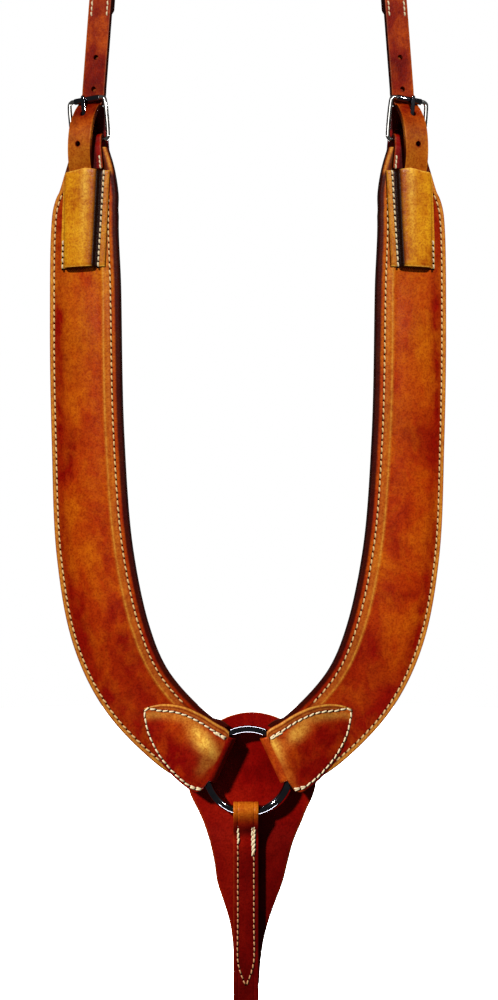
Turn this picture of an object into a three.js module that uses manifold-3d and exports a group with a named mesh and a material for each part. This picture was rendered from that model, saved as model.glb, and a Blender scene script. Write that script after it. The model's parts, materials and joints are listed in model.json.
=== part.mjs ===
// A western pulling breast collar: two padded leather shoulders buckled to tug straps,
// joined by a steel ring at the chest, with a leather safe and a centre strap below it.
// Millimetres. X is to the right seen from the front, -Y is the front, +Z is up.
// The origin is the middle of the centre ring.
import * as THREE from "three";
import { mergeVertices } from "three/addons/utils/BufferGeometryUtils.js";
import Module from "manifold-3d";

// ---- driving dimensions ----
const CHEST_RADIUS = 345; // the collar bends back round the chest on this radius
const CHEST_FLAT = 50; // half width of the flat middle, where the ring lies
const GAP = 0.3; // air left between touching pieces

const RING_WIRE = 8; // diameter of the steel of the centre ring
const RING_RADIUS = 41.7; // to the middle of the wire

const FACE_FRONT = 4; // front of the shoulder face, along the normal
const LINING_BACK = -5;
const SEAM = -1; // where face and lining meet
const CROWN = 3; // how far the padding lifts the face
const PAD_REACH = 0.76; // share of the half width that is padded
const PAD_THICK = 1.5; // felt where the face is not crowned
const PAD_ROOM = 1.9; // the space under the face that holds it

const STRAP_WIDTH = 25.4;
const STRAP_THICK = 4.5;
const CHAPE_THICK = 3.2;
const HOLE_RADIUS = 2.75;

const BUCKLE_OUTBOARD = 159.3; // middle of the heel bar
const BUCKLE_HEIGHT = 634;
const BUCKLE_LENGTH = 42.5; // heel bar to roller bar
const BUCKLE_INNER = 34.5; // width between the posts
const BUCKLE_WIRE = 4.6;
const BUCKLE_LEAN = 5; // degrees, top outboard
const ROLLER_RADIUS = 3;
const STRAP_LEAN = 4.8; // degrees, top inboard
const BACKING = { half: 13, low: -30, high: 36, thick: 2.2, corner: 9 }; // buckle safe

const SAFE_THICK = 3.2;
const SAFE_SPLIT = -43; // height of the bend below the ring
const FOLD_HEIGHT = -40.3; // axis of the centre strap's fold round the ring
const EYE_HEIGHT = -286; // bar of the snap's swivel eye

// Shoulder stations, ring end first: outboard distance, height, half width.
const SHOULDER = [
  [51, 23, 35.5],
  [67, 33, 35.5],
  [112, 80, 37.5],
  [139, 135, 39],
  [156, 215, 38],
  [163.5, 330, 36],
  [166, 450, 35.5],
  [165, 560, 34],
  [161.5, 580, 30.5],
  [160, 600, 26],
  [159.5, 616, 21.5],
  [159, 627, 17.5],
];

const RAD = Math.PI / 180;
const wasm = await Module();
wasm.setup();

// ---- materials ----
const leather = (color) =>
  new THREE.MeshStandardMaterial({ color, roughness: 0.42, metalness: 0 });
const steel = (color) =>
  new THREE.MeshStandardMaterial({ color, roughness: 0.2, metalness: 1 });
const TAN = leather(0xb2480a);
const DARK_TAN = leather(0x8f2f08);
const GOLD_TAN = leather(0xd18b10);
const OXBLOOD = leather(0x74100a);
const LINING = leather(0x6b3a1e);
const FOAM = new THREE.MeshStandardMaterial({ color: 0xd8cdb8, roughness: 0.95 });
const NICKEL = steel(0xc9c7c2);
const DARK_STEEL = steel(0x5b5d63);

// ---- the chest surface ----
const clamp01 = (v) => Math.min(1, Math.max(0, v));
const ease = (v) => {
  const c = clamp01(v);
  return c * c * (3 - 2 * c);
};

// Angle of the chest's normal at a sideways distance from the middle.
const chestAngle = (outboard) =>
  Math.asin(Math.max(0, Math.abs(outboard) - CHEST_FLAT) / CHEST_RADIUS);

// A point of the front view, lifted along the chest's normal. side is -1 or 1.
function onChest(side, outboard, height, normal) {
  const a = chestAngle(outboard) * Math.sign(outboard);
  return new THREE.Vector3(
    side * (outboard + normal * Math.sin(a)),
    CHEST_RADIUS * (1 - Math.cos(a)) - normal * Math.cos(a),
    height,
  );
}

// ---- closed bodies ----
// A closed sheet between two grids of points, top[i][j] and bottom[i][j]. mirror turns the faces.
function slab(top, bottom, mirror) {
  const rows = top.length;
  const cols = top[0].length;
  const points = [...top.flat(), ...bottom.flat()].flatMap((p) => p.toArray());
  const t = (i, j) => i * cols + j;
  const b = (i, j) => rows * cols + i * cols + j;
  const index = [];
  const quad = (a, c, d, e) =>
    mirror ? index.push(a, d, c, a, e, d) : index.push(a, c, d, a, d, e);
  for (let i = 0; i + 1 < rows; i++)
    for (let j = 0; j + 1 < cols; j++) {
      quad(t(i, j), t(i + 1, j), t(i + 1, j + 1), t(i, j + 1));
      quad(b(i, j), b(i, j + 1), b(i + 1, j + 1), b(i + 1, j));
    }
  for (let i = 0; i + 1 < rows; i++) {
    quad(t(i, 0), b(i, 0), b(i + 1, 0), t(i + 1, 0));
    quad(t(i, cols - 1), t(i + 1, cols - 1), b(i + 1, cols - 1), b(i, cols - 1));
  }
  for (let j = 0; j + 1 < cols; j++) {
    quad(t(0, j), t(0, j + 1), b(0, j + 1), b(0, j));
    quad(t(rows - 1, j), b(rows - 1, j), b(rows - 1, j + 1), t(rows - 1, j + 1));
  }
  const geometry = new THREE.BufferGeometry();
  geometry.setAttribute("position", new THREE.Float32BufferAttribute(points, 3));
  geometry.setIndex(index);
  return geometry;
}

function solid(geometry) {
  const bare = geometry.clone();
  bare.deleteAttribute("normal");
  bare.deleteAttribute("uv");
  const merged = mergeVertices(bare, 1e-3);
  return new wasm.Manifold(
    new wasm.Mesh({
      numProp: 3,
      vertProperties: new Float32Array(merged.attributes.position.array),
      triVerts: new Uint32Array(merged.index.array),
    }),
  );
}

function geometryOf(body) {
  const { vertProperties, triVerts } = body.getMesh();
  const geometry = new THREE.BufferGeometry();
  geometry.setAttribute("position", new THREE.BufferAttribute(vertProperties, 3));
  geometry.setIndex(new THREE.BufferAttribute(triVerts, 1));
  return geometry;
}

const cut = (geometry, ...tools) =>
  geometryOf(tools.reduce((body, tool) => body.subtract(solid(tool)), solid(geometry)));
const join = (...parts) =>
  geometryOf(parts.slice(1).reduce((body, p) => body.add(solid(p)), solid(parts[0])));

function mesh(name, geometry, material) {
  const made = new THREE.Mesh(geometry, material);
  made.name = name;
  return made;
}

const vectors = (points) => points.map(([x, y]) => new THREE.Vector2(x, y));

// A side profile in the local (across the front, up) plane, extruded to a width along X.
// Profile points are [y, z], with y towards the back.
function extrudeX(outline, width, holes = []) {
  const shape = new THREE.Shape(vectors(outline));
  shape.holes = holes.map((h) => new THREE.Path(vectors(h)));
  const geometry = new THREE.ExtrudeGeometry(shape, {
    depth: width,
    bevelEnabled: false,
    curveSegments: 1,
  });
  geometry.translate(0, 0, -width / 2);
  // Extrusion along z becomes X, shape x becomes Y, shape y becomes Z.
  return geometry.applyMatrix4(
    new THREE.Matrix4().set(0, 0, 1, 0, 1, 0, 0, 0, 0, 1, 0, 0, 0, 0, 0, 1),
  );
}

// Points on an arc in a profile, angles in degrees from the first axis.
function arc(cx, cy, radius, from, to, steps) {
  return Array.from({ length: steps + 1 }, (_, i) => {
    const a = (from + ((to - from) * i) / steps) * RAD;
    return [cx + radius * Math.cos(a), cy + radius * Math.sin(a)];
  });
}

// A round bar between two points, as a closed cylinder.
function bar(from, to, radius, sides = 12) {
  const a = new THREE.Vector3(...from);
  const b = new THREE.Vector3(...to);
  const geometry = new THREE.CylinderGeometry(radius, radius, a.distanceTo(b), sides);
  const turn = new THREE.Quaternion().setFromUnitVectors(
    new THREE.Vector3(0, 1, 0),
    b.clone().sub(a).normalize(),
  );
  return geometry
    .applyQuaternion(turn)
    .translate(...a.add(b).multiplyScalar(0.5).toArray());
}

// A round wire along a smooth curve through points.
function wire(points, radius, steps, closed = false, sides = 10) {
  const curve = new THREE.CatmullRomCurve3(
    points.map((p) => new THREE.Vector3(...p)),
    closed,
  );
  const section = new THREE.Shape(vectors(arc(0, 0, radius, 0, 360, sides).slice(1)));
  return new THREE.ExtrudeGeometry(section, {
    steps,
    extrudePath: curve,
    bevelEnabled: false,
  });
}

// ---- shoulders ----
const ROWS_PER_SPAN = 3;

// Rows along the shoulder: middle, sideways direction of the front view, and half width.
const shoulderRows = (() => {
  const middle = new THREE.CatmullRomCurve3(
    SHOULDER.map(([o, z]) => new THREE.Vector3(o, z, 0)),
  );
  const width = new THREE.CatmullRomCurve3(
    SHOULDER.map(([, , w], i) => new THREE.Vector3(i * 40, w, 0)),
  );
  const count = (SHOULDER.length - 1) * ROWS_PER_SPAN;
  return Array.from({ length: count + 1 }, (_, i) => {
    const p = middle.getPoint(i / count);
    const along = middle.getTangent(i / count);
    return { o: p.x, z: p.y, so: along.y, sz: -along.x, half: width.getPoint(i / count).y };
  });
})();

// The padding's lift fades out before the leaf at the ring and before the keeper.
const crownAt = (z) => CROWN * ease((z - 70) / 80) * (1 - ease((z - 430) / 70));
const crownAcross = (t) => 1 - Math.min(1, Math.abs(t) / 0.82) ** 2;

// A layer of the shoulder. shares are places across it, from the inner edge, -1, to the outer, 1.
// top and bottom give the level of a row at a share.
function shoulderLayer(side, rows, shares, top, bottom) {
  const grid = (level) =>
    rows.map((r) =>
      shares.map((t) =>
        onChest(side, r.o + t * r.half * r.so, r.z + t * r.half * r.sz, level(r, t)),
      ),
    );
  return slab(grid(top), grid(bottom), side > 0);
}

const PAD_FIRST_ROW = 6;
const PAD_LAST_ROW = shoulderRows.length - 15;
const padded = (r) => {
  const i = shoulderRows.indexOf(r);
  return i >= PAD_FIRST_ROW && i <= PAD_LAST_ROW;
};

function shoulder(side, word) {
  const edges = [-1, -0.96, -0.82, -PAD_REACH, -0.4, 0, 0.4, PAD_REACH, 0.82, 0.96, 1];
  const face = shoulderLayer(
    side,
    shoulderRows,
    edges,
    (r, t) =>
      FACE_FRONT + crownAt(r.z) * crownAcross(t) - (Math.abs(t) > 0.99 ? 1.2 : 0),
    (r, t) =>
      padded(r) && Math.abs(t) <= PAD_REACH
        ? SEAM + GAP / 2 + PAD_ROOM + crownAt(r.z) * crownAcross(t)
        : SEAM + GAP / 2,
  );
  const lining = shoulderLayer(
    side,
    shoulderRows,
    [-1, -PAD_REACH, -0.4, 0, 0.4, PAD_REACH, 1],
    () => SEAM - GAP / 2,
    () => LINING_BACK,
  );
  const inside = shoulderRows.slice(PAD_FIRST_ROW, PAD_LAST_ROW + 1);
  const padding = shoulderLayer(
    side,
    inside,
    [-0.72, -0.4, 0, 0.4, 0.72],
    (r, t) => SEAM + GAP / 2 + PAD_THICK + crownAt(r.z) * crownAcross(t),
    () => SEAM + GAP / 2,
  );
  return [
    mesh(`${word}_shoulder_face`, face, TAN),
    mesh(`${word}_shoulder_padding`, padding, FOAM),
    mesh(`${word}_shoulder_lining`, lining, LINING),
  ];
}

// ---- the leaf-shaped chape that folds round the ring ----
const FOLD_TURN = 25.2 * RAD; // the fold lies square to this direction in the front view
const FOLD_MIDDLE = 32; // distance from the ring's middle to the middle of the fold
const FOLD_INSIDE = 4.5; // inner radius of the fold

// Stations from the leaf's tip to the fold: distance from the ring's middle, lower and upper edge.
const LEAF = [
  [119.5, 10.5, 13.5],
  [114, 2.5, 19],
  [103, -11, 26.5],
  [86, -23.5, 32],
  [66, -31, 32.5],
  [48, -36, 30.5],
  [39, -37.5, 30],
  [34, -33, 28.5],
];
const FOLD_EDGES = [-24.5, 24];
const BACK_TAB = [
  [40, -32, 29],
  [50, -32, 29],
  [72, -28, 27],
  [84, -18, 20],
];

function ringChape(side, word) {
  const place = (a, b, n) =>
    onChest(
      side,
      a * Math.cos(FOLD_TURN) - b * Math.sin(FOLD_TURN),
      a * Math.sin(FOLD_TURN) + b * Math.cos(FOLD_TURN),
      n,
    );
  const shares = [0, 0.25, 0.5, 0.75, 1];
  const outer = [];
  const inner = [];
  const row = (edges, aOut, nOut, aIn, nIn) => {
    const across = shares.map((s) => edges[0] + s * (edges[1] - edges[0]));
    outer.push(across.map((b) => place(aOut, b, nOut)));
    inner.push(across.map((b) => place(aIn, b, nIn)));
  };
  const front = FOLD_INSIDE + CHAPE_THICK;
  for (const [a, low, high] of LEAF) row([low, high], a, front, a, FOLD_INSIDE);
  const turns = 6;
  for (let i = 0; i <= turns; i++) {
    const t = Math.PI / 2 - (Math.PI * i) / turns;
    row(
      FOLD_EDGES,
      FOLD_MIDDLE - front * Math.cos(t),
      front * Math.sin(t),
      FOLD_MIDDLE - FOLD_INSIDE * Math.cos(t),
      FOLD_INSIDE * Math.sin(t),
    );
  }
  const back = -LINING_BACK + GAP;
  for (const [a, low, high] of BACK_TAB) {
    const lift = a > 45 ? back : FOLD_INSIDE;
    row([low, high], a, -lift - CHAPE_THICK, a, -lift);
  }
  return mesh(`${word}_ring_chape`, slab(outer, inner, side > 0), GOLD_TAN);
}

// ---- keeper, sewn to the shoulder's face, that holds the strap's tail ----
function keeper(side, word) {
  // Half section: across, outer level, across, inner level.
  const half = [
    [0, 13.4, 0, 10.3],
    [10.5, 13.3, 10.5, 10.3],
    [14.8, 12.6, 13.9, 9.9],
    [16.8, 10.2, 14, 6.5],
    [17.4, 7.3, 14.1, FACE_FRONT + GAP],
    [22, 7.1, 22, FACE_FRONT + GAP],
  ];
  const mirrored = half.slice(1).map(([u, no, v, ni]) => [-u, no, -v, ni]);
  const section = [...mirrored.reverse(), ...half];
  // Height, outboard middle, and how far the outboard flange reaches.
  const rows = [
    [602, 165.2, 18.6],
    [570, 165.8, 21],
    [538, 166.4, 22],
    [506, 167, 22],
  ];
  const grid = (u, n) =>
    rows.map(([z, middle, reach]) =>
      section.map((p) => {
        const across = Math.min(p[u], reach);
        return onChest(side, middle + across * Math.cos(chestAngle(middle)), z, p[n]);
      }),
    );
  return mesh(`${word}_keeper`, slab(grid(0, 1), grid(2, 3), side < 0), GOLD_TAN);
}

// ---- buckle, in its own flat frame: X outboard along the chest, -Y forward, Z up ----
// The frame's origin is the middle of the heel bar.
const HEEL_ANGLE = chestAngle(BUCKLE_OUTBOARD);
const HEEL_LEVEL = -0.5; // the heel bar lies in the thickness of the shoulder
const ROLLER_LEVEL = 1;

function buckleGroup(side) {
  const group = new THREE.Group();
  group.position.copy(onChest(side, BUCKLE_OUTBOARD, BUCKLE_HEIGHT, HEEL_LEVEL));
  group.rotation.order = "ZYX";
  group.rotation.z = side * HEEL_ANGLE;
  group.rotation.y = side * BUCKLE_LEAN * RAD;
  return group;
}

const rollerY = -(ROLLER_LEVEL - HEEL_LEVEL);

function buckle(side, word) {
  const x = (BUCKLE_INNER + BUCKLE_WIRE) / 2;
  const r = BUCKLE_WIRE / 2;
  const post = (sx) =>
    wire(
      [
        [sx * (x - 4), 0, 0],
        [sx * (x - 1.4), 0, 0.8],
        [sx * x, 0, 4.5],
        [sx * x, rollerY, BUCKLE_LENGTH - 4.5],
        [sx * (x - 1.4), rollerY, BUCKLE_LENGTH - 0.8],
        [sx * (x - 4), rollerY, BUCKLE_LENGTH],
      ],
      r,
      18,
    );
  const barEnd = x - 3.6;
  const frame = join(
    post(1),
    post(-1),
    bar([-barEnd, 0, 0], [barEnd, 0, 0], r - 0.25),
    bar([-barEnd, rollerY, BUCKLE_LENGTH], [barEnd, rollerY, BUCKLE_LENGTH], r - 0.6),
  );
  const rollerHalf = 13.6;
  const rollerProfile = [
    [r - 0.25, -rollerHalf],
    [ROLLER_RADIUS, -rollerHalf],
    [ROLLER_RADIUS, rollerHalf],
    [r - 0.25, rollerHalf],
    [r - 0.25, -rollerHalf],
  ];
  const roller = new THREE.LatheGeometry(vectors(rollerProfile), 16)
    .rotateZ(Math.PI / 2)
    .translate(0, rollerY, BUCKLE_LENGTH);
  const group = buckleGroup(side);
  group.add(mesh(`${word}_buckle_frame`, frame, NICKEL));
  group.add(mesh(`${word}_buckle_roller`, roller, NICKEL));
  group.add(tongue(side, word, r));
  return group;
}

// The tongue turns on the heel bar and its tip rests on the front of the roller.
function tongue(side, word, barRadius) {
  const eyeIn = barRadius + 0.1;
  const eyeOut = eyeIn + 2.2;
  const thick = 2.3;
  const tipY = rollerY - ROLLER_RADIUS - GAP;
  const ring = arc(0, 0, eyeOut, 180, 360 + 62, 12);
  const blade = [
    [tipY + 0.6, 12],
    [tipY, BUCKLE_LENGTH - 3],
    [tipY, BUCKLE_LENGTH + 3.2],
    [tipY - 0.9, BUCKLE_LENGTH + 3.8],
    [tipY - thick, BUCKLE_LENGTH + 2.6],
    [tipY - thick, 14],
  ];
  const shape = [...ring, ...blade];
  const geometry = extrudeX(shape, 4.6, [arc(0, 0, eyeIn, 0, 360, 16).slice(1)]);
  geometry.translate(side * 2.6, 0, 0);
  return mesh(`${word}_buckle_tongue`, geometry, NICKEL);
}

// The chape folds round the heel bar and is sewn to the front and back of the shoulder's top.
function buckleChape(side, word) {
  const inside = BUCKLE_WIRE / 2 + 0.35;
  const outside = inside + CHAPE_THICK;
  const front = -(FACE_FRONT + GAP - HEEL_LEVEL);
  const back = -(LINING_BACK - 3 * GAP - HEEL_LEVEL);
  const outline = [
    ...arc(0, 0, outside, 0, 180, 8),
    [front - CHAPE_THICK, -8],
    [front - CHAPE_THICK, -23.5],
    [front, -23.5],
    [front, -6.2],
    [-inside, -1.5],
    ...arc(0, 0, inside, 180, 0, 8).slice(1),
    [inside, -1.5],
    [back, -6.2],
    [back, -36],
    [back + CHAPE_THICK, -36],
    [back + CHAPE_THICK, -8],
  ];
  const body = extrudeX(outline, 28);
  const slot = new THREE.BoxGeometry(6.4, 14, 18).translate(side * 2.6, 0, 3.2);
  const group = buckleGroup(side);
  group.add(mesh(`${word}_buckle_chape`, cut(body, slot), DARK_TAN));
  return group;
}

// A thin safe sewn behind the chape keeps the buckle off the horse.
function buckleSafe(side, word) {
  const { half, low, high, thick, corner } = BACKING;
  const shape = new THREE.Shape(
    vectors([
      [-half, low],
      [half, low],
      ...arc(half - corner, high - corner, corner, 0, 90, 5),
      ...arc(corner - half, high - corner, corner, 90, 180, 5),
    ]),
  );
  const geometry = new THREE.ExtrudeGeometry(shape, { depth: thick, bevelEnabled: false });
  const chapeBack = HEEL_LEVEL - LINING_BACK + 3 * GAP + CHAPE_THICK;
  geometry.rotateX(Math.PI / 2).translate(0, chapeBack + GAP + thick, 0);
  const group = buckleGroup(side);
  group.add(mesh(`${word}_buckle_safe`, geometry, OXBLOOD));
  return group;
}

// ---- tug strap ----
// The tail runs from behind the roller, over the heel bar, down into the keeper.
// Rows: outboard middle, height, level of the strap's middle.
const TAIL = [
  [161.4, 672.6, -3.3],
  [162, 666, 2.2],
  [162.6, 657, 8],
  [163.4, 646, 12.4],
  [164, 634, 14],
  [164.6, 622, 13.3],
  [165, 612, 11.3],
  [165.2, 605.5, 9],
  [165.3, 600, 7.1],
  [165.6, 592, 6.9],
  [166, 560, 6.8],
  [166.4, 524, 6.8],
];

function tugTail(side, word) {
  const path = new THREE.CatmullRomCurve3(TAIL.map((p) => new THREE.Vector3(...p)));
  const steps = 22;
  const halves = [-1, -0.33, 0.33, 1];
  const front = [];
  const back = [];
  for (let i = 0; i <= steps; i++) {
    const p = path.getPoint(i / steps);
    const along = path.getTangent(i / steps);
    const flat = Math.hypot(along.y, along.z);
    const dz = (along.z / flat) * (STRAP_THICK / 2);
    const dn = (-along.y / flat) * (STRAP_THICK / 2);
    const narrow = i === steps ? 0.7 : 1;
    const row = (way) =>
      halves.map((h) =>
        onChest(
          side,
          p.x + ((h * narrow * STRAP_WIDTH) / 2) * Math.cos(HEEL_ANGLE),
          p.y + way * dz,
          p.z + way * dn,
        ),
      );
    front.push(row(1));
    back.push(row(-1));
  }
  const body = slab(front, back, side < 0);
  const across = new THREE.Vector3(0, -1, 0).applyAxisAngle(
    new THREE.Vector3(0, 0, 1),
    side * HEEL_ANGLE,
  );
  const punch = (outboard, low, high, radius) => {
    const at = (z) => {
      const lean = (z - low) * Math.tan(BUCKLE_LEAN * RAD);
      const middle = onChest(side, outboard + lean, z, 8);
      const reach = across.clone().multiplyScalar(16);
      return bar(
        middle.clone().sub(reach).toArray(),
        middle.clone().add(reach).toArray(),
        radius,
        10,
      );
    };
    const count = Math.ceil((high - low) / 2.5) + 1;
    return Array.from({ length: count }, (_, i) => at(low + 2.5 * i));
  };
  const tools = [
    ...punch(163.6, 654, 669, 3.2),
    ...punch(165.6, 628.5, 628.5, HOLE_RADIUS),
  ];
  return mesh(`${word}_tug_tail`, cut(body, ...tools), TAN);
}

// The standing strap, from the roller up to its saddle loop. Its own frame starts at the roller.
const LOOP_HEIGHT = 137; // middle of the saddle loop above the roller
const LOOP_RADIUS = 7; // open radius of the saddle loop
function tugStrap(side, word) {
  const near = ROLLER_RADIUS + GAP + 0.1; // front of the strap lies behind the roller
  const far = near + STRAP_THICK;
  const tab = far + STRAP_THICK;
  const middle = near + STRAP_THICK;
  const outer = LOOP_RADIUS + STRAP_THICK;
  const outline = [
    [near, 2.8],
    [near, LOOP_HEIGHT - 27],
    ...arc(middle, LOOP_HEIGHT, outer, 200, -20, 14),
    [tab, LOOP_HEIGHT - 27],
    [tab, LOOP_HEIGHT - 55],
    [far, LOOP_HEIGHT - 55],
    [far, 2.8],
  ];
  const eye = [
    ...arc(middle, LOOP_HEIGHT, LOOP_RADIUS, 205, -25, 12),
    [middle, LOOP_HEIGHT - 19],
  ];
  const body = extrudeX(outline.reverse(), STRAP_WIDTH, [eye]);
  const punch = (v) => bar([0, near - 3, v], [0, far + 3, v], HOLE_RADIUS, 12);
  const strap = mesh(`${word}_tug_strap`, cut(body, punch(11), punch(43)), DARK_TAN);
  const group = buckleGroup(side);
  const leaning = new THREE.Group();
  leaning.position.set(side * -2, rollerY, BUCKLE_LENGTH);
  leaning.rotation.y = -side * (BUCKLE_LEAN + STRAP_LEAN) * RAD;
  leaning.add(strap);
  group.add(leaning);
  return group;
}

// ---- centre ring, safe and strap ----
const centreRing = () =>
  mesh(
    "centre_ring",
    new THREE.TorusGeometry(RING_RADIUS, RING_WIRE / 2, 12, 56).rotateX(Math.PI / 2),
    DARK_STEEL,
  );

// The safe's rows: height, middle sideways, half width.
const SAFE_ROUND = { height: -8, up: 65, half: 66, middle: 4 };
const SAFE_LOWER = [
  [-52, 4.5, 50],
  [-72, 3.5, 42],
  [-92, 3, 37],
  [-112, 2, 33],
  [-132, 1.5, 26],
  [-152, 1, 19.5],
  [-172, 0, 15.5],
  [-195, -1, 13.4],
  [-214, -1.5, 12.7],
];
const SAFE_FRONT = -9.8; // level of its front behind the ring
const STRAP_BACK = 4; // back of the sewn double strap

function safePiece(name, rows) {
  const shares = [-1, -0.76, -0.35, 0, 0.35, 0.76, 1];
  const grid = (extra) =>
    rows.map(([z, middle, half, level]) =>
      shares.map((t) => {
        const x = middle + t * half;
        return onChest(1, x, z, level - extra);
      }),
    );
  return mesh(name, slab(grid(0), grid(SAFE_THICK), false), OXBLOOD);
}

function safes() {
  const { height, up, half, middle } = SAFE_ROUND;
  const upper = [];
  for (const deg of [86, 72, 58, 44, 30, 16, 2])
    upper.push([
      height + up * Math.sin(deg * RAD),
      middle,
      half * Math.cos(deg * RAD),
      SAFE_FRONT,
    ]);
  upper.push([-24, middle, 63, SAFE_FRONT]);
  upper.push([SAFE_SPLIT, middle + 0.3, 54, SAFE_FRONT]);
  const front = -(STRAP_BACK + GAP);
  const level = (z) => front + (SAFE_FRONT + 1.4 - front) * ease((z + 82) / 30);
  const lower = SAFE_LOWER.map(([z, x, w]) => [z, x, w, level(z)]);
  return [safePiece("ring_safe_upper", upper), safePiece("ring_safe_lower", lower)];
}

const STRAP_SHIFT = -2; // the centre strap sits a little to one side on the ring
function centreStrap() {
  const inside = RING_WIRE / 2 + 1.75;
  const outside = inside + 3.4;
  const plyEnd = -214;
  const eyeOut = 6.6;
  const outline = [
    [-STRAP_BACK, -54],
    ...arc(0, FOLD_HEIGHT, outside, 218, -38, 16),
    [STRAP_BACK, -54],
    [STRAP_BACK, plyEnd],
    [0.2, plyEnd - 1.5],
    [0.2, -242],
    [STRAP_BACK, -243.5],
    [STRAP_BACK, EYE_HEIGHT + 11],
    ...arc(0, EYE_HEIGHT, eyeOut, 25, -205, 12),
    [-STRAP_BACK, EYE_HEIGHT + 11],
  ];
  const geometry = extrudeX(outline.reverse(), STRAP_WIDTH, [
    arc(0, FOLD_HEIGHT, inside, 0, 360, 20).slice(1),
    arc(0, EYE_HEIGHT, 3, 0, 360, 14).slice(1),
  ]).translate(STRAP_SHIFT, 0, 0);
  return mesh("centre_strap", geometry, OXBLOOD);
}

// ---- swivel bolt snap ----
const SNAP_TOP = EYE_HEIGHT - 18; // top of the snap's collar
const BARREL_LOW = SNAP_TOP - 34;
const TIP_TOP = BARREL_LOW - 13;

function snapParts() {
  const x = STRAP_SHIFT;
  const eyeHalf = 17.4;
  const eyeWire = 2.6;
  const loop = [
    [-eyeHalf + 4, EYE_HEIGHT],
    [-eyeHalf, EYE_HEIGHT - 2.5],
    [-eyeHalf + 1, EYE_HEIGHT - 8],
    [-8, EYE_HEIGHT - 12.5],
    [0, EYE_HEIGHT - 13.5],
    [8, EYE_HEIGHT - 12.5],
    [eyeHalf - 1, EYE_HEIGHT - 8],
    [eyeHalf, EYE_HEIGHT - 2.5],
    [eyeHalf - 4, EYE_HEIGHT],
  ].map(([u, z]) => [x + u, 0, z]);
  const eye = join(
    wire(loop, eyeWire, 30),
    bar([x - eyeHalf + 3.6, 0, EYE_HEIGHT], [x + eyeHalf - 3.6, 0, EYE_HEIGHT], eyeWire),
    bar([x, 0, EYE_HEIGHT - 13], [x, 0, SNAP_TOP - 6.5], 2.6),
    bar([x, 0, SNAP_TOP - 4.2], [x, 0, SNAP_TOP - 7.2], 4.4),
  );

  const profile = [
    [3, 0],
    [3, -3.6],
    [4.9, -3.6],
    [4.9, -10.5],
    [3.1, -13],
    [3.1, -34],
    [6.6, -34],
    [6.6, -11],
    [8, -8.5],
    [8, -1.5],
    [7, 0],
    [3, 0],
  ];
  const barrel = new THREE.LatheGeometry(vectors(profile), 20)
    .rotateX(Math.PI / 2)
    .translate(x, 0, SNAP_TOP);
  const hook = wire(
    [
      [x + 4.8, 0, SNAP_TOP - 15],
      [x + 12, 0, SNAP_TOP - 19],
      [x + 17.5, 0, SNAP_TOP - 31],
      [x + 16.5, 0, SNAP_TOP - 45],
      [x + 8, 0, SNAP_TOP - 54],
      [x - 1, 0, SNAP_TOP - 53.5],
      [x - 1.2, 0, TIP_TOP - 1.5],
    ],
    3.1,
    26,
  );
  const slot = new THREE.BoxGeometry(9, 3, 19).translate(
    x - 6.5,
    0,
    SNAP_TOP - 13 - 9.5,
  );
  const body = cut(join(barrel, hook), slot, boltBore(x));
  const boltTop = SNAP_TOP - 27;
  const springTop = SNAP_TOP - 8;
  const bolt = join(
    bar([x, 0, boltTop], [x, 0, TIP_TOP + GAP], 2.7),
    bar([x - 1, 0, boltTop - 3], [x - 9.2, 0, boltTop - 3], 1.2, 10),
    new THREE.SphereGeometry(3, 12, 8).translate(x - 11, 0, boltTop - 3),
  );
  return [
    mesh("snap_eye", eye, NICKEL),
    mesh("snap_body", body, NICKEL),
    mesh("snap_bolt", bolt, NICKEL),
    mesh("snap_spring", spring(x, boltTop + GAP, springTop), NICKEL),
  ];
}

// The compression spring between the bolt and the head of the swivel post.
function spring(x, low, high) {
  const turns = 5;
  const points = Array.from({ length: turns * 10 + 1 }, (_, i) => {
    const a = (i / 10) * 2 * Math.PI;
    const rise = 0.5 + ((high - low - 1) * i) / (turns * 10);
    return [x + 2.1 * Math.cos(a), 2.1 * Math.sin(a), low + rise];
  });
  return wire(points, 0.45, turns * 12, false, 6);
}

// Keeps the bolt's way clear where the hook's root meets the barrel.
const boltBore = (x) =>
  bar([x, 0, SNAP_TOP - 13], [x, 0, BARREL_LOW - 1], 3.05, 20);

// ---- the whole collar ----
const collar = new THREE.Group();
collar.name = "breast_collar";
for (const [side, word] of [
  [-1, "left"],
  [1, "right"],
])
  collar.add(
    ...shoulder(side, word),
    ringChape(side, word),
    keeper(side, word),
    buckle(side, word),
    buckleChape(side, word),
    buckleSafe(side, word),
    tugTail(side, word),
    tugStrap(side, word),
  );
collar.add(centreRing(), ...safes(), centreStrap(), ...snapParts());

export default collar;
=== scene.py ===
"""The looks of a western pulling breast collar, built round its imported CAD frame.

Shapes are worked out in millimetres on the surface of the horse's chest and placed in metres.
"outboard" is measured away from the middle of the chest, "across" over a strip of leather and
"level" along the chest's outward normal.
"""

import json
import math

import bmesh
import bpy
import numpy as np
from mathutils import Matrix, Vector

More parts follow.
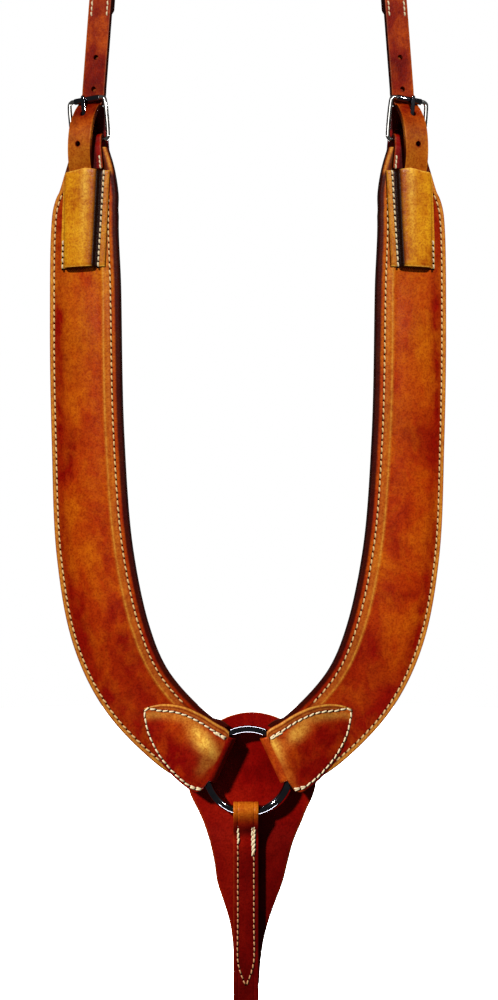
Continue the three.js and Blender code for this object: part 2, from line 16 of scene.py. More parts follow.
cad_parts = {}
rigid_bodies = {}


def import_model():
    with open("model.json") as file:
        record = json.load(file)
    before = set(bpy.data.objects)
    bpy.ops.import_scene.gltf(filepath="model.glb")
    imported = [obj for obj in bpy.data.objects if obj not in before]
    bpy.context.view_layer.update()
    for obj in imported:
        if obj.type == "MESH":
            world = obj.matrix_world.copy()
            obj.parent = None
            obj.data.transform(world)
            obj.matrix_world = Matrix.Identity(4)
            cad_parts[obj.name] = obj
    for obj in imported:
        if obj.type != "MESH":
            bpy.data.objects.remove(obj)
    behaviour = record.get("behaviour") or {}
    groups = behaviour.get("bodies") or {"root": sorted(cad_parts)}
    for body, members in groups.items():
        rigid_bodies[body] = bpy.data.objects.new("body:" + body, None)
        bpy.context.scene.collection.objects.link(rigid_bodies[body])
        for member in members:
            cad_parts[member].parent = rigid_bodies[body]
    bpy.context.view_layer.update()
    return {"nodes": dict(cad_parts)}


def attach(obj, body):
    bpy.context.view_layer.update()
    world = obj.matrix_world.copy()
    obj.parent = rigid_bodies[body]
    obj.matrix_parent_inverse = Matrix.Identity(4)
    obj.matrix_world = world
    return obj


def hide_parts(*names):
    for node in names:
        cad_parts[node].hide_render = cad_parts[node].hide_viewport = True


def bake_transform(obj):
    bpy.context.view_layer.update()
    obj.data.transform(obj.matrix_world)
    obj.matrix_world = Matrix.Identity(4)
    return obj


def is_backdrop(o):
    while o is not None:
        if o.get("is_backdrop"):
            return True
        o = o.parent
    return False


MM = 0.001
SEED = 7
SIDES = ((-1, "left"), (1, "right"))

# ---- driving dimensions, as the CAD part has them ----
CHEST_RADIUS = 345
CHEST_FLAT = 50
RING_WIRE = 8
RING_RADIUS = 41.7
FACE_FRONT = 4
LINING_BACK = -5
SEAM = -1
CROWN = 3
STRAP_WIDTH = 25.4
STRAP_THICK = 4.5
CHAPE_WIDTH = 28
CHAPE_THICK = 3.2
HOLE_RADIUS = 2.75
BUCKLE_OUTBOARD = 159.3
BUCKLE_HEIGHT = 634
BUCKLE_LENGTH = 42.5
BUCKLE_INNER = 34.5
BUCKLE_WIRE = 4.6
BUCKLE_LEAN = 5
TONGUE_OUTBOARD = 2.6  # from the buckle's middle
HEEL_LEVEL = -0.5
ROLLER_LEVEL = 1
ROLLER_Y = HEEL_LEVEL - ROLLER_LEVEL
ROLLER_RADIUS = 3
ROLLER_HALF = 13.6
STRAP_LEAN = 4.8
STRAP_INBOARD = 4.6  # from the buckle's middle, at the roller
LOOP_HEIGHT = 137
LOOP_RADIUS = 7
SAFE_THICK = 3.2
SAFE_FRONT = -9.8
FOLD_HEIGHT = -40.3
EYE_HEIGHT = -286
EYE_BAR = 3  # half the thickness of the snap eye's bar
STRAP_SHIFT = -2  # the centre strap hangs this far from the middle
STRAP_BACK = 4
SPRING_TOP = EYE_HEIGHT - 26
SPRING_LOW = EYE_HEIGHT - 44.7
SPRING_TURNS = 5
SPRING_COIL = 2.1
SPRING_WIRE = 0.45

# Shoulder stations, ring end first: outboard distance, height, half width.
SHOULDER = [
    (51, 23, 35.5),
    (67, 33, 35.5),
    (112, 80, 37.5),
    (139, 135, 39),
    (156, 215, 38),
    (163.5, 330, 36),
    (166, 450, 35.5),
    (165, 560, 34),
    (161.5, 580, 30.5),
    (160, 600, 26),
    (159.5, 616, 21.5),
    (159, 627, 17.5),
]

# The leaf over the ring: distance from the ring's middle, lower and upper edge.
FOLD_TURN = math.radians(25.2)
FOLD_MIDDLE = 32
FOLD_INSIDE = 4.5
FOLD_EDGES = (-24.5, 24)
LEAF_FRONT = FOLD_INSIDE + CHAPE_THICK
LEAF_TIP = (118.2, 12)
LEAF = [
    (119.5, 10.5, 13.5),
    (114, 2.5, 19),
    (103, -12, 26.5),
    (86, -25.5, 32),
    (66, -35, 32.5),
    (48, -40, 30.5),
    (39, -40.8, 30),
    (34, -36, 28.5),
]
BACK_TAB = [(40, -32, 29), (50, -32, 29), (72, -28, 27), (84, -18, 20)]

# The tug strap's tail: outboard distance, height, level.
TAIL = [
    (166.4, 524, 6.8),
    (166, 560, 6.8),
    (165.6, 592, 6.9),
    (165.3, 600, 7.1),
    (165.2, 605.5, 9),
    (165, 612, 11.3),
    (164.6, 622, 13.3),
    (164, 634, 14),
    (163.4, 646, 12.4),
    (162.6, 657, 8),
    (162, 666, 1.8),
    (161.4, 672.6, -4.1),
]

# The ring safe's round top, and its outline below: height, middle, half width.
SAFE_TOP = {"height": -8, "up": 65, "half": 66, "middle": 4}
SAFE_LOWER = [
    (-24, 4, 63),
    (-43, 4.3, 54),
    (-52, 4.5, 50),
    (-72, 3.5, 42),
    (-92, 3, 37),
    (-112, 2, 33),
    (-132, 1.5, 26),
    (-152, 1, 19.5),
    (-172, 0, 15.5),
    (-195, -1, 13.4),
    (-214, -1.5, 12.7),
]


# ---- geometry on the chest ----
def chest_angle(outboard):
    reach = np.maximum(0, np.abs(outboard) - CHEST_FLAT) / CHEST_RADIUS
    return np.arcsin(reach) * np.sign(outboard)


def on_chest(side, outboard, height, level):
    """Points in metres, from places on the front view lifted along the chest's normal."""
    outboard, height, level = np.broadcast_arrays(outboard, height, level)
    a = chest_angle(outboard)
    x = side * (outboard + level * np.sin(a))
    y = CHEST_RADIUS * (1 - np.cos(a)) - level * np.cos(a)
    return MM * np.stack([x, y, height], axis=-1)


def ease(v):
    """A soft step from 0 to 1 while v goes from 0 to 1."""
    c = np.clip(v, 0, 1)
    return c * c * (3 - 2 * c)


def bell(distance, width):
    return np.exp(-((distance / width) ** 2))


def unit(v):
    return v / np.maximum(np.linalg.norm(v, axis=-1, keepdims=True), 1e-12)


def curve(points, count):
    """Places on the centripetal Catmull-Rom curve through points, evenly many to each span."""
    p = np.asarray(points, float)
    p = np.vstack([2 * p[0] - p[1], p, 2 * p[-1] - p[-2]])
    spans = len(p) - 3
    t = np.linspace(0, spans, count)
    i = np.minimum(t.astype(int), spans - 1)
    w = (t - i)[:, None]
    p0, p1, p2, p3 = (p[i + k] for k in range(4))
    gaps = ((p0, p1), (p1, p2), (p2, p3))
    d0, d1, d2 = (np.sqrt(np.linalg.norm(b - a, axis=1))[:, None] for a, b in gaps)
    m1 = d1 * ((p1 - p0) / d0 - (p2 - p0) / (d0 + d1) + (p2 - p1) / d1)
    m2 = d1 * ((p2 - p1) / d1 - (p3 - p1) / (d1 + d2) + (p3 - p2) / d2)
    square = 3 * (p2 - p1) - 2 * m1 - m2
    cube = 2 * (p1 - p2) + m1 + m2
    return p1 + m1 * w + square * w**2 + cube * w**3


def distances(line):
    """How far along a line each of its points lies."""
    return np.concatenate([[0], np.cumsum(np.linalg.norm(np.diff(line, axis=0), axis=1))])


def respaced(line, step):
    """The same line with points a step apart along it."""
    length = distances(line)
    count = max(2, int(round(length[-1] / step)) + 1)
    at = np.linspace(0, length[-1], count)
    return np.stack([np.interp(at, length, line[:, k]) for k in range(line.shape[1])], axis=1)


def full_turn(steps):
    """Angles all the way round, the last one a step short of the first."""
    return np.linspace(0, 2 * math.pi, steps, endpoint=False)


def arc(cx, cy, radius, start, end, steps):
    a = np.radians(np.linspace(start, end, steps + 1))
    return np.stack([cx + radius * np.cos(a), cy + radius * np.sin(a)], axis=1)


# ---- meshes ----
TINTS = ("tan", "dark", "red")  # tan, dark and deep shades painted on: the leather's own colour in places, painted highlight and painted shade in others


def loft_faces(rows, columns, closed=False):
    """Quads between neighbouring loops, with flat ends unless the rows close on themselves."""
    faces = []
    for i in range(rows if closed else rows - 1):
        n = (i + 1) % rows
        for j in range(columns):
            k = (j + 1) % columns
            faces.append((i * columns + j, i * columns + k, n * columns + k, n * columns + j))
    if not closed:
        faces.append(tuple(range(columns))[::-1])
        faces.append(tuple((rows - 1) * columns + j for j in range(columns)))
    return faces


def show(name, mesh):
    """An object for a mesh, in the scene."""
    made = bpy.data.objects.new(name, mesh)
    bpy.context.scene.collection.objects.link(made)
    return made


def make(name, points, faces, material, sharp=50, **tints):
    """A smooth-shaded object with its faces out, its leather tinted point by point."""
    mesh = bpy.data.meshes.new(name)
    mesh.from_pydata(np.asarray(points).reshape(-1, 3).tolist(), [], faces)
    for title in TINTS:
        layer = mesh.attributes.new(title, "FLOAT", "POINT")
        if title in tints:
            layer.data.foreach_set("value", np.asarray(tints[title], np.float32).ravel())
    work = bmesh.new()
    work.from_mesh(mesh)
    bmesh.ops.recalc_face_normals(work, faces=work.faces)
    work.to_mesh(mesh)
    work.free()
    mesh.shade_smooth()
    mesh.set_sharp_from_angle(angle=math.radians(sharp))
    mesh.materials.append(material)
    return show(name, mesh)


def loft(name, rows, material, closed=False, **tints):
    rows = np.asarray(rows)
    return make(name, rows, loft_faces(*rows.shape[:2], closed), material, **tints)


class Skin:
    """The rows of a piece of leather, with its tints from 0 to 1 at each point."""

    def __init__(self):
        self.rows = []
        self.tints = {title: [] for title in TINTS}

    def add(self, row, **tints):
        self.rows.append(row)
        for title, values in self.tints.items():
            values.append(np.broadcast_to(tints.get(title, 0.0), len(row)).clip(0, 1))

    def add_sheet(self, front, back, tan, red, dark, behind):
        """A row round a thin sheet, tinted in front and evenly dark behind."""
        sheet = {}
        for title, tint, hidden in (("tan", tan, 0), ("red", red, 0), ("dark", dark, behind)):
            tint = np.broadcast_to(tint, len(front))
            sheet[title] = np.concatenate([tint, np.full(len(back), hidden)])
        self.add(np.concatenate([front, back[::-1]]), **sheet)

    def loft(self, name, material):
        return loft(name, self.rows, material, **self.tints)


def edged(us, front, back, rounding=1.0):
    """A closed section of leather with rounded edges, as (across, level, share of edge)."""
    lo, hi = us[0], us[-1]
    r = min(rounding, (hi - lo) * 0.45)
    inner = np.clip(us, lo + r, hi - r)
    front = np.broadcast_to(front, us.shape)
    back = np.broadcast_to(back, us.shape)
    loop = [(u, n, 0.0) for u, n in zip(inner, front)]

    def corner(u, n, start, end, radius):
        for a in np.radians(np.linspace(start, end, 5)[1:-1]):
            loop.append((u + r * math.cos(a), n + radius * math.sin(a), 1.0))

    right = min(r, (front[-1] - back[-1]) / 2)
    corner(hi - r, front[-1] - right, 90, 0, right)
    loop.append((hi, front[-1] - right, 1.0))
    loop.append((hi, back[-1] + right, 1.0))
    corner(hi - r, back[-1] + right, 0, -90, right)
    loop += [(u, n, 0.0) for u, n in zip(inner[::-1], back[::-1])]
    left = min(r, (front[0] - back[0]) / 2)
    corner(lo + r, back[0] + left, 270, 180, left)
    loop.append((lo, back[0] + left, 1.0))
    loop.append((lo, front[0] - left, 1.0))
    corner(lo + r, front[0] - left, 180, 90, left)
    return np.array(loop)


def frames_along(path, across):
    """A ribbon's across directions, made square to its path, and the normals of its front."""
    along = unit(np.gradient(path, axis=0))
    across = unit(across - np.sum(across * along, axis=1, keepdims=True) * along)
    return across, unit(np.cross(along, across))


def tube_points(path, radius, sides=16, closed=False, ends=True):
    """Loops of a round wire along a path, its free ends domed."""
    path = np.asarray(path, float)
    radius = np.full(len(path), radius)
    if closed:
        along = unit(np.roll(path, -1, axis=0) - np.roll(path, 1, axis=0))
    else:
        along = unit(np.gradient(path, axis=0))
    if ends and not closed:
        dome = np.radians([12, 30, 50, 70, 86])
        r = radius[0]
        head = np.array([path[0] - along[0] * r * math.sin(a) for a in dome[::-1]])
        tail = np.array([path[-1] + along[-1] * r * math.sin(a) for a in dome])
        path = np.vstack([head, path, tail])
        along = np.vstack([np.tile(along[0], (5, 1)), along, np.tile(along[-1], (5, 1))])
        radius = np.concatenate([r * np.cos(dome[::-1]), radius, r * np.cos(dome)])
    first = np.array([0.0, 0.0, 1.0]) if abs(along[0][2]) < 0.8 else np.array([0.0, 1.0, 0.0])
    side = unit(np.cross(along[0], first))
    turns = full_turn(sides)
    rows = []
    for p, t, r in zip(path, along, radius):
        side = unit(side - np.dot(side, t) * t)
        up = np.cross(t, side)
        rows.append(p + r * (np.cos(turns)[:, None] * side + np.sin(turns)[:, None] * up))
    return np.array(rows)


def tube(name, path, radius, material, **options):
    return loft(name, tube_points(path, radius, **options), material, options.get("closed", False))


def merged(name, parts, material, **options):
    """One mesh from several lists of loops."""
    points, faces = [], []
    for rows in parts:
        start = len(points)
        points.extend(rows.reshape(-1, 3).tolist())
        faces.extend(tuple(start + i for i in f) for f in loft_faces(*rows.shape[:2]))
    return make(name, points, faces, material, **options)


def cut(obj, cutter, sharp=50):
    """Takes the cutter's shape out of obj and removes the cutter."""
    changed = obj.modifiers.new("cut", "BOOLEAN")
    changed.operation = "DIFFERENCE"
    changed.solver = "EXACT"
    changed.object = cutter
    graph = bpy.context.evaluated_depsgraph_get()
    mesh = bpy.data.meshes.new_from_object(obj.evaluated_get(graph))
    obj.modifiers.remove(changed)
    obj.data = mesh
    mesh.set_sharp_from_angle(angle=math.radians(sharp))
    bpy.data.objects.remove(cutter)


# ---- stitching ----
BEAD = [(0.9, -0.5), (1.0, 0.06), (0.7, 0.2), (0.25, 0.24)]  # share of the bore, height
ARCH = 0.42  # a stitch's height at its middle
DIVE = 0.95  # and how far its ends go down


def dimple(centre, along, normal, bore):
    """A low dark bead, a painted shadow, that fills the awl hole where a stitch goes down."""
    across = np.cross(normal, along)
    turns = full_turn(10)
    rim = np.cos(turns)[:, None] * along + np.sin(turns)[:, None] * across
    return np.array([centre + MM * (bore * r * rim + h * normal) for r, h in BEAD])


def stitches(name, body, runs, material, pitch=5.6, length=3.3, radius=0.88, slant=9, bore=None):
    """Saddle stitching: each stitch is a short thread that arches out of one hole into the next.

    A run is a line and its normals. Where bore is given, the awl holes have that radius and a
    second piece fills them with shadow."""
    random = np.random.default_rng(SEED)
    threads, beads = [], []
    for line, normal in runs:
        both = respaced(np.hstack([line, normal]), pitch * MM)
        spots, normals = both[:, :3], unit(both[:, 3:])
        along = unit(np.gradient(spots, axis=0))
        for p, n, t in zip(spots, normals, along):
            turn = math.radians(slant + random.normal(0, 4))
            way = math.cos(turn) * t + math.sin(turn) * np.cross(n, t)
            half = (length + random.normal(0, 0.15)) / 2 * MM
            fat = (radius + random.normal(0, 0.04)) * MM
            share = np.linspace(-1, 1, 7)[:, None]
            path = p + way * half * share + n * MM * (ARCH - DIVE * share**4)
            threads.append(tube_points(path, fat, sides=7, ends=False))
            if bore:
                beads.append(dimple(p + t * MM * pitch / 2, t, n, bore))
    settle(merged(name, threads, material, sharp=80), body, "stitching")
    if bore:
        holes = merged(name.replace("stitches", "awl_holes"), beads, HOLE, sharp=80)
        settle(holes, body, "stitching")


def straight_runs(place, lanes):
    """Short straight runs, 20 points each, from (x, y, from z, to z, which way is out)."""
    runs = []
    for x, y, start, end, way in lanes:
        line = place.points([(x, y, z) for z in np.linspace(start, end, 20)])
        runs.append((line, np.tile(place.way([0, way, 0]), (20, 1))))
    return runs


# ---- materials ----
def linear(*screen):
    """A colour given as it looks on a screen, red, green and blue from 0 to 255."""
    shares = [c / 255 for c in screen]
    return [s / 12.92 if s <= 0.04 else ((s + 0.055) / 1.055) ** 2.4 for s in shares] + [1]


class Graph:
    """The shader nodes of a new material, whose textures start from the object's own places."""

    def __init__(self, name):
        self.material = bpy.data.materials.new(name)
        self.material.use_nodes = True
        self.nodes, self.links = self.material.node_tree.nodes, self.material.node_tree.links
        self.place = self.nodes.new("ShaderNodeTexCoord").outputs["Object"]

    def set(self, node, settings):
        """Sets or links a node's inputs, by name or number, and sets its own properties."""
        for key, value in settings.items():
            if not isinstance(key, int) and key not in node.inputs:
                setattr(node, key, value)
            elif isinstance(value, bpy.types.NodeSocket):
                self.links.new(value, node.inputs[key])
            else:
                node.inputs[key].default_value = value

    def node(self, kind, output, settings):
        """One output of a new node."""
        made = self.nodes.new(kind)
        self.set(made, settings)
        return made.outputs[output]

    def ramp(self, source, stops):
        """The colour that a source picks from stops of (place, colour)."""
        node = self.nodes.new("ShaderNodeValToRGB")
        while len(node.color_ramp.elements) < len(stops):
            node.color_ramp.elements.new(0.5)
        for element, (place, colour) in zip(node.color_ramp.elements, stops):
            element.position = place
            element.color = colour
        self.links.new(source, node.inputs["Fac"])
        return node.outputs["Color"]

    def spread(self, source, start=0.0, end=1.0, low=0.0, high=1.0):
        """A source's values from start to end, spread over low to high."""
        places = {"From Min": start, "From Max": end, "To Min": low, "To Max": high}
        return self.node("ShaderNodeMapRange", "Result", {"Value": source, **places})

    def finish(self, height, strength, distance, settings):
        """Bumps of a height map, and the shader's other settings."""
        sizes = {"Height": height, "Strength": strength, "Distance": distance}
        bump = self.node("ShaderNodeBump", "Normal", sizes)
        self.set(self.nodes["Principled BSDF"], {"Normal": bump, **settings})
        return self.material


def leather(name, colours, top=None, heights=None, gloss=0.34, patch=20, shine=0.16):
    """Oiled saddle leather: cloudy colour, wrinkles, fine grain, pores and three painted tints.

    The colours are its light, middle and deep shades and its tan and dark tints, as they look on
    a screen. top is the light shade above the heights between which the leather changes."""
    graph = Graph(name)
    light, middle, deep, tan, dark = (linear(*c) for c in colours)

    def noise(scale, detail, distortion=0.0, stretch=(1, 1, 1), turn=0.0):
        sized = {"Vector": graph.place, "Scale": stretch, "Rotation": (0, turn, 0)}
        place = graph.node("ShaderNodeMapping", "Vector", sized)
        sizes = {"Scale": scale, "Detail": detail, "Distortion": distortion, "Roughness": 0.6}
        return graph.node("ShaderNodeTexNoise", "Fac", {"Vector": place, **sizes})

    def blend(kind, a, b, factor):
        settings = {"data_type": "RGBA", "blend_type": kind, 0: factor, 6: a, 7: b}
        return graph.node("ShaderNodeMix", 2, settings)

    def sums(operation, *values):
        return graph.node("ShaderNodeMath", 0, {"operation": operation, **dict(enumerate(values))})

    clouds = noise(patch, 7, 0.35, (1, 1, 0.65))
    colour = graph.ramp(clouds, [(0.36, deep), (0.5, middle), (0.66, light)])
    if top:
        height = graph.node("ShaderNodeSeparateXYZ", "Z", {"Vector": graph.place})
        clouds = noise(patch * 1.4, 7, 0.3, (1, 1, 0.6))
        upper = graph.ramp(clouds, [(0.36, middle), (0.6, linear(*top))])
        colour = blend("MIX", colour, upper, graph.spread(height, *heights))
    wrinkles = noise(52, 6, 0.5, (1, 1, 0.6), 0.5)
    wrinkles = graph.ramp(wrinkles, [(0.48, [0, 0, 0, 1]), (0.66, [0.4, 0.4, 0.4, 1])])
    colour = blend("MIX", colour, light, wrinkles)
    patchy = graph.spread(noise(56, 6, 0.4, (1, 1, 0.6), 0.4), 0.38, 0.58, 0.5)
    for layer, tint in (("red", deep), ("tan", tan), ("dark", dark)):
        share = graph.node("ShaderNodeAttribute", "Fac", {"attribute_name": layer})
        if layer == "red":
            share = sums("MULTIPLY", share, patchy)
        colour = blend("MIX", colour, tint, share)
    mottle, pores = noise(130, 6, 0.5), noise(520, 4)
    spots = graph.ramp(mottle, [(0.36, [0.8, 0.58, 0.4, 1]), (0.6, [1.06, 1.14, 1.1, 1])])
    specks = graph.ramp(pores, [(0.36, [0.7, 0.52, 0.42, 1]), (0.56, [1.08, 1.12, 1.06, 1])])
    colour = blend("MULTIPLY", blend("MULTIPLY", colour, spots, 0.75), specks, 0.85)
    worn = graph.spread(noise(46, 5), low=gloss - 0.08, high=gloss + 0.12)
    grain = {"Vector": graph.place, "Scale": 700}
    grain = graph.node("ShaderNodeTexVoronoi", "Distance", grain)
    looks = {"Base Color": colour, "Roughness": worn, "Specular IOR Level": shine}
    return graph.finish(sums("MULTIPLY_ADD", grain, 0.4, mottle), 0.35, 0.0006, looks)


def metal(name, colour, roughness, marks):
    """Plated steel with faint rubbing marks."""
    graph = Graph(name)
    sizes = {"Vector": graph.place, "Scale": 120, "Detail": 6}
    cloud = graph.node("ShaderNodeTexNoise", "Fac", sizes)
    full = linear(*colour)
    tone = graph.ramp(cloud, [(0.3, [c * 0.72 for c in full[:3]] + [1]), (0.65, full)])
    worn = graph.spread(cloud, low=roughness, high=roughness + marks)
    looks = {"Base Color": tone, "Roughness": worn, "Metallic": 1}
    return graph.finish(cloud, 0.05, 0.0002, looks)


def thread(name, colour):
    """Waxed linen thread, with its twist."""
    graph = Graph(name)
    sizes = {"Vector": graph.place, "Scale": 420, "Distortion": 1.5}
    twist = graph.node("ShaderNodeTexWave", "Fac", sizes)
    full = linear(*colour)
    tone = graph.ramp(twist, [(0.0, [c * 0.62 for c in full[:3]] + [1]), (0.7, full)])
    return graph.finish(twist, 0.4, 0.0002, {"Base Color": tone, "Roughness": 0.6})


EDGE_AND_SHADE_DARK = (46, 7, 2)  # the dark of scorched and grimy edges, also painted on as shade
SHOULDER_LEATHER = leather(
    "shoulder_leather",
    [(200, 92, 6), (176, 52, 3), (140, 14, 2), (214, 144, 50), EDGE_AND_SHADE_DARK],
    top=(198, 104, 8),
    heights=(0.3, 0.52),
    shine=0.07,
)
KEEPER_LEATHER = leather(
    "keeper_leather",
    [(220, 150, 24), (206, 130, 16), (170, 78, 6), (238, 182, 74), (34, 9, 3)],
    gloss=0.3,
    shine=0.1,
)
CHAPE_LEATHER = leather(
    "chape_leather",
    [(184, 70, 6), (154, 30, 3), (120, 5, 2), (240, 186, 78), (60, 4, 3)],
    gloss=0.28,
    patch=34,
    shine=0.1,
)
STRAP_LEATHER = leather(
    "strap_leather",
    [(172, 66, 8), (128, 24, 3), (100, 8, 2), (200, 116, 26), EDGE_AND_SHADE_DARK],
    patch=34,
    shine=0.05,
)
OXBLOOD = leather(
    "oxblood_leather",
    [(144, 18, 6), (126, 5, 2), (104, 2, 1), (204, 116, 22), (40, 3, 2)],
    patch=18,
    shine=0.06,
)
LINING_LEATHER = leather(
    "lining_leather",
    [(150, 96, 56), (132, 80, 44), (110, 62, 34), (170, 116, 70), (60, 22, 10)],
    gloss=0.6,
    patch=30,
)
# Painted shadow for the awl holes
HOLE = leather(
    "awl_holes",
    [(30, 8, 4), (22, 5, 3), (14, 3, 2), (30, 8, 4), (14, 3, 2)],
    shine=0.02,
)
NICKEL = metal("nickel", (226, 224, 218), 0.03, 0.06)
DARK_STEEL = metal("ring_steel", (104, 104, 112), 0.03, 0.05)
THREAD = thread("stitching", (244, 222, 176))
WAXED_THREAD = thread("stitching_waxed", (250, 204, 132))
OLD_THREAD = thread("stitching_aged", (206, 148, 96))


# ---- the frame ----
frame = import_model()


def settle(obj, body, slot, *nodes):
    """The piece moves with its body and stands for its CAD nodes, which are hidden. Its slot is not
    used.
    """
    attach(obj, body)
    if nodes:
        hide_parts(*nodes)


# ---- shoulders ----
TOE = 15
TOE_RISE = 34
SPREAD = 2.4
INNER_SEAM = 8.2  # from the inner edge to its row of stitches
OUTER_SEAM = 5.2
RIDGE = 14.9  # from the inner edge to the line raised by the padding's edge
NECK = 597  # height above which the shoulder is a single neck, painted dark as shade


class Row:
    """A row across the shoulder: its middle, its sideways direction and its half width."""

    def __init__(self, middle, sideways, half):
        self.outboard, self.z = middle
        self.sideways, self.half = sideways, half
        self.toe = TOE * (1 - ease((self.z - SHOULDER[0][1]) / TOE_RISE))
        spread = ease((self.z - 60) / 120) * (1 - ease((self.z - 480) / 80))
        self.widened = 1 + SPREAD * spread / half

    def at(self, side, across, level):
        """The inner half spreads a little, and its ring end runs on towards the ring as a toe."""
        out, up = self.sideways
        onward = self.toe * np.maximum(0, -across / self.half) ** 2
        across = np.where(across < 0, across * self.widened, across)
        outboard = self.outboard + across * out + onward * up
        return on_chest(side, outboard, self.z + across * up - onward * out, level)


def shoulder_rows(count):
    middle = curve([s[:2] for s in SHOULDER], count)
    half = curve([(40 * i, s[2]) for i, s in enumerate(SHOULDER)], count)[:, 1]
    along = unit(np.gradient(middle, axis=0))
    return [Row(m, (t[1], -t[0]), w) for m, t, w in zip(middle, along, half)]


ROWS = shoulder_rows(190)


def face_level(row, us):
    """Front of the shoulder: padded crown, the padding's ridge and sunk seams."""
    t = np.abs(us) / row.half
    inner, outer = us + row.half, row.half - us
    crown = CROWN * ease((row.z - 70) / 80) * (1 - ease((row.z - 430) / 70))
    level = FACE_FRONT + crown * (1 - np.minimum(1, t / 0.82) ** 2)
    level = level - 0.55 * bell(inner - INNER_SEAM, 0.9) - 0.55 * bell(outer - OUTER_SEAM, 0.9)
    return level + 0.7 * bell(inner - RIDGE, 1.5) - 0.3 * bell(inner - RIDGE + 3.2, 1.3)


def face_columns(row):
    """Places across the face, close together at its seams and its ridge."""
    near = [0, 1.4, 2.6, 3.6, 4.6, 5.8, 6.8, 7.5, 8.2, 8.9, 9.8, 11, 12.4, 13.7, 14.9, 16.1, 17.6]
    far = [14, 11.5, 9, 7.4, 6.4, 5.8, 5.2, 4.6, 3.8, 2.6, 1.4, 0.6, 0]
    shrink = min(1, row.half / 26)
    low, high = -row.half + np.array(near) * shrink, row.half - np.array(far) * shrink
    return np.concatenate([low, np.linspace(low[-1], high[0], 13)[1:-1], high])


def face_tints(row, loop):
    """Painted highlight on the ridge and along the outer edge, painted shade in the sunk seams, on the
    walls, the inner flank and the neck, red beside the outer seam.
    """
    inner, outer = loop[:, 0] + row.half, row.half - loop[:, 0]
    front = loop[:, 1] > SEAM + 0.6
    # tan: painted highlight on the outer edge's band and on the padding's ridge
    tan = 0.85 * bell(outer - 2.6, 1.6) + 0.75 * bell(inner - RIDGE, 1.15)
    tan = tan + 0.3 * bell(inner - INNER_SEAM - 3, 2.0)
    # dark in the sunk seams is painted shade
    dark = 0.6 * bell(inner - INNER_SEAM, 1.0) + 0.6 * bell(outer - OUTER_SEAM, 0.9)
    # flank: painted shade on the inner flank, which turns away from the light
    flank = ease((5.4 - inner) / 2.2)
    dark = dark + 0.92 * flank + 0.7 * ease((1.1 - outer) / 0.9)
    wander = 0.74 + 0.3 * math.sin(row.z / 23 + 1.3) * math.sin(row.z / 61)
    red = 1.3 * wander * bell(outer - 11, 7) + 0.75 * (1 - ease((row.z - 60) / 90)) + flank
    neck = ease((row.z - NECK) / 8)
    # the neck: painted shade under the chape and the tail, with a painted highlight along its inner
    # edge
    tan = tan * (1 - neck) + 0.9 * neck * bell(inner - 2.2, 1.6)
    dark = dark * (1 - neck) + 0.85 * neck * ease((inner - 3.6) / 1.4)
    # the walls and the back: painted shade
    wall = (loop[:, 2] > 0) & (loop[:, 1] < FACE_FRONT - 1.2)
    dark = np.where(wall | ~front, 0.85, dark)
    return {"tan": np.where(front, tan, 0), "red": np.where(front, red, 0), "dark": dark}


def face_and_lining(side, word):
    face, lining = Skin(), Skin()
    for row in ROWS:
        us = face_columns(row)
        loop = edged(us, face_level(row, us), SEAM + 0.05, 1.5)
        face.add(row.at(side, loop[:, 0], loop[:, 1]), **face_tints(row, loop))
        loop = edged(np.linspace(-row.half, row.half, 18), SEAM - 0.05, LINING_BACK, 1.6)
        lining.add(row.at(side, loop[:, 0], loop[:, 1]), dark=0.85 * (loop[:, 2] > 0))
    body, node = f"{word}_shoulder", f"{word}_shoulder_face"
    made = face.loft(node, SHOULDER_LEATHER)
    settle(made, body, "shoulder_leather", node, f"{word}_shoulder_padding")
    made = lining.loft(f"{word}_shoulder_lining", LINING_LEATHER)
    settle(made, body, "lining_leather", f"{word}_shoulder_lining")


def seam_line(side, rows, distance, edge, level, way=1):
    """A line of stitches a distance in from the inner (-1) or outer (1) edge, with its normals.

    It follows the front of the face where level is None."""
    points, normals = [], []
    for row in rows:
        u = edge * (row.half - distance)
        n = face_level(row, np.array([u]))[0] if level is None else level
        points.append(row.at(side, u, n))
        normals.append(row.at(side, u, n + way) - row.at(side, u, n))
    return np.array(points), np.array(normals)


def shoulder_stitches(side, word):
    inner = [r for r in ROWS if 50 < r.z < 588]
    outer = [r for r in ROWS if 24 < r.z < 574]

    def both(level, way):
        return [
            seam_line(side, inner, INNER_SEAM, -1, level, way),
            seam_line(side, outer, OUTER_SEAM, 1, level, way),
        ]

    body = f"{word}_shoulder"
    coarse = {"pitch": 6.6, "length": 3.9, "radius": 0.92, "bore": 1.5}
    stitches(f"{word}_shoulder_stitches", body, both(None, 1), WAXED_THREAD, **coarse)
    stitches(f"{word}_lining_stitches", body, both(LINING_BACK, -1), OLD_THREAD, radius=0.7)


# ---- the leaf that folds round the ring ----
def leaf_place(side, a, b, n):
    """A place on the leaf: a runs out from the ring's middle, b across and n forward."""
    c, s = math.cos(FOLD_TURN), math.sin(FOLD_TURN)
    return on_chest(side, a * c - b * s, a * s + b * c, n)


def seam_insets(a):
    """How far the stitches run in from the leaf's lower and upper edges."""
    return 3.4 - 1.4 * ease((a - 96) / 20), 2.0 + 5.6 * ease((119 - a) / 16)


def leaf_swell(a, b):
    """The leather is drawn up where the ring's wire passes under the leaf."""
    return 2.3 * bell(a - 47, 15) * bell(b + 2, 24)


def oval_patch(a, b, middle, reach, turn):
    """A soft oval patch whose long side is turned from the leaf's own length."""
    c, s = math.cos(turn), math.sin(turn)
    p = (a - middle[0]) * c + (b - middle[1]) * s
    q = (b - middle[1]) * c - (a - middle[0]) * s
    return bell(p, reach[0]) * bell(q, reach[1])


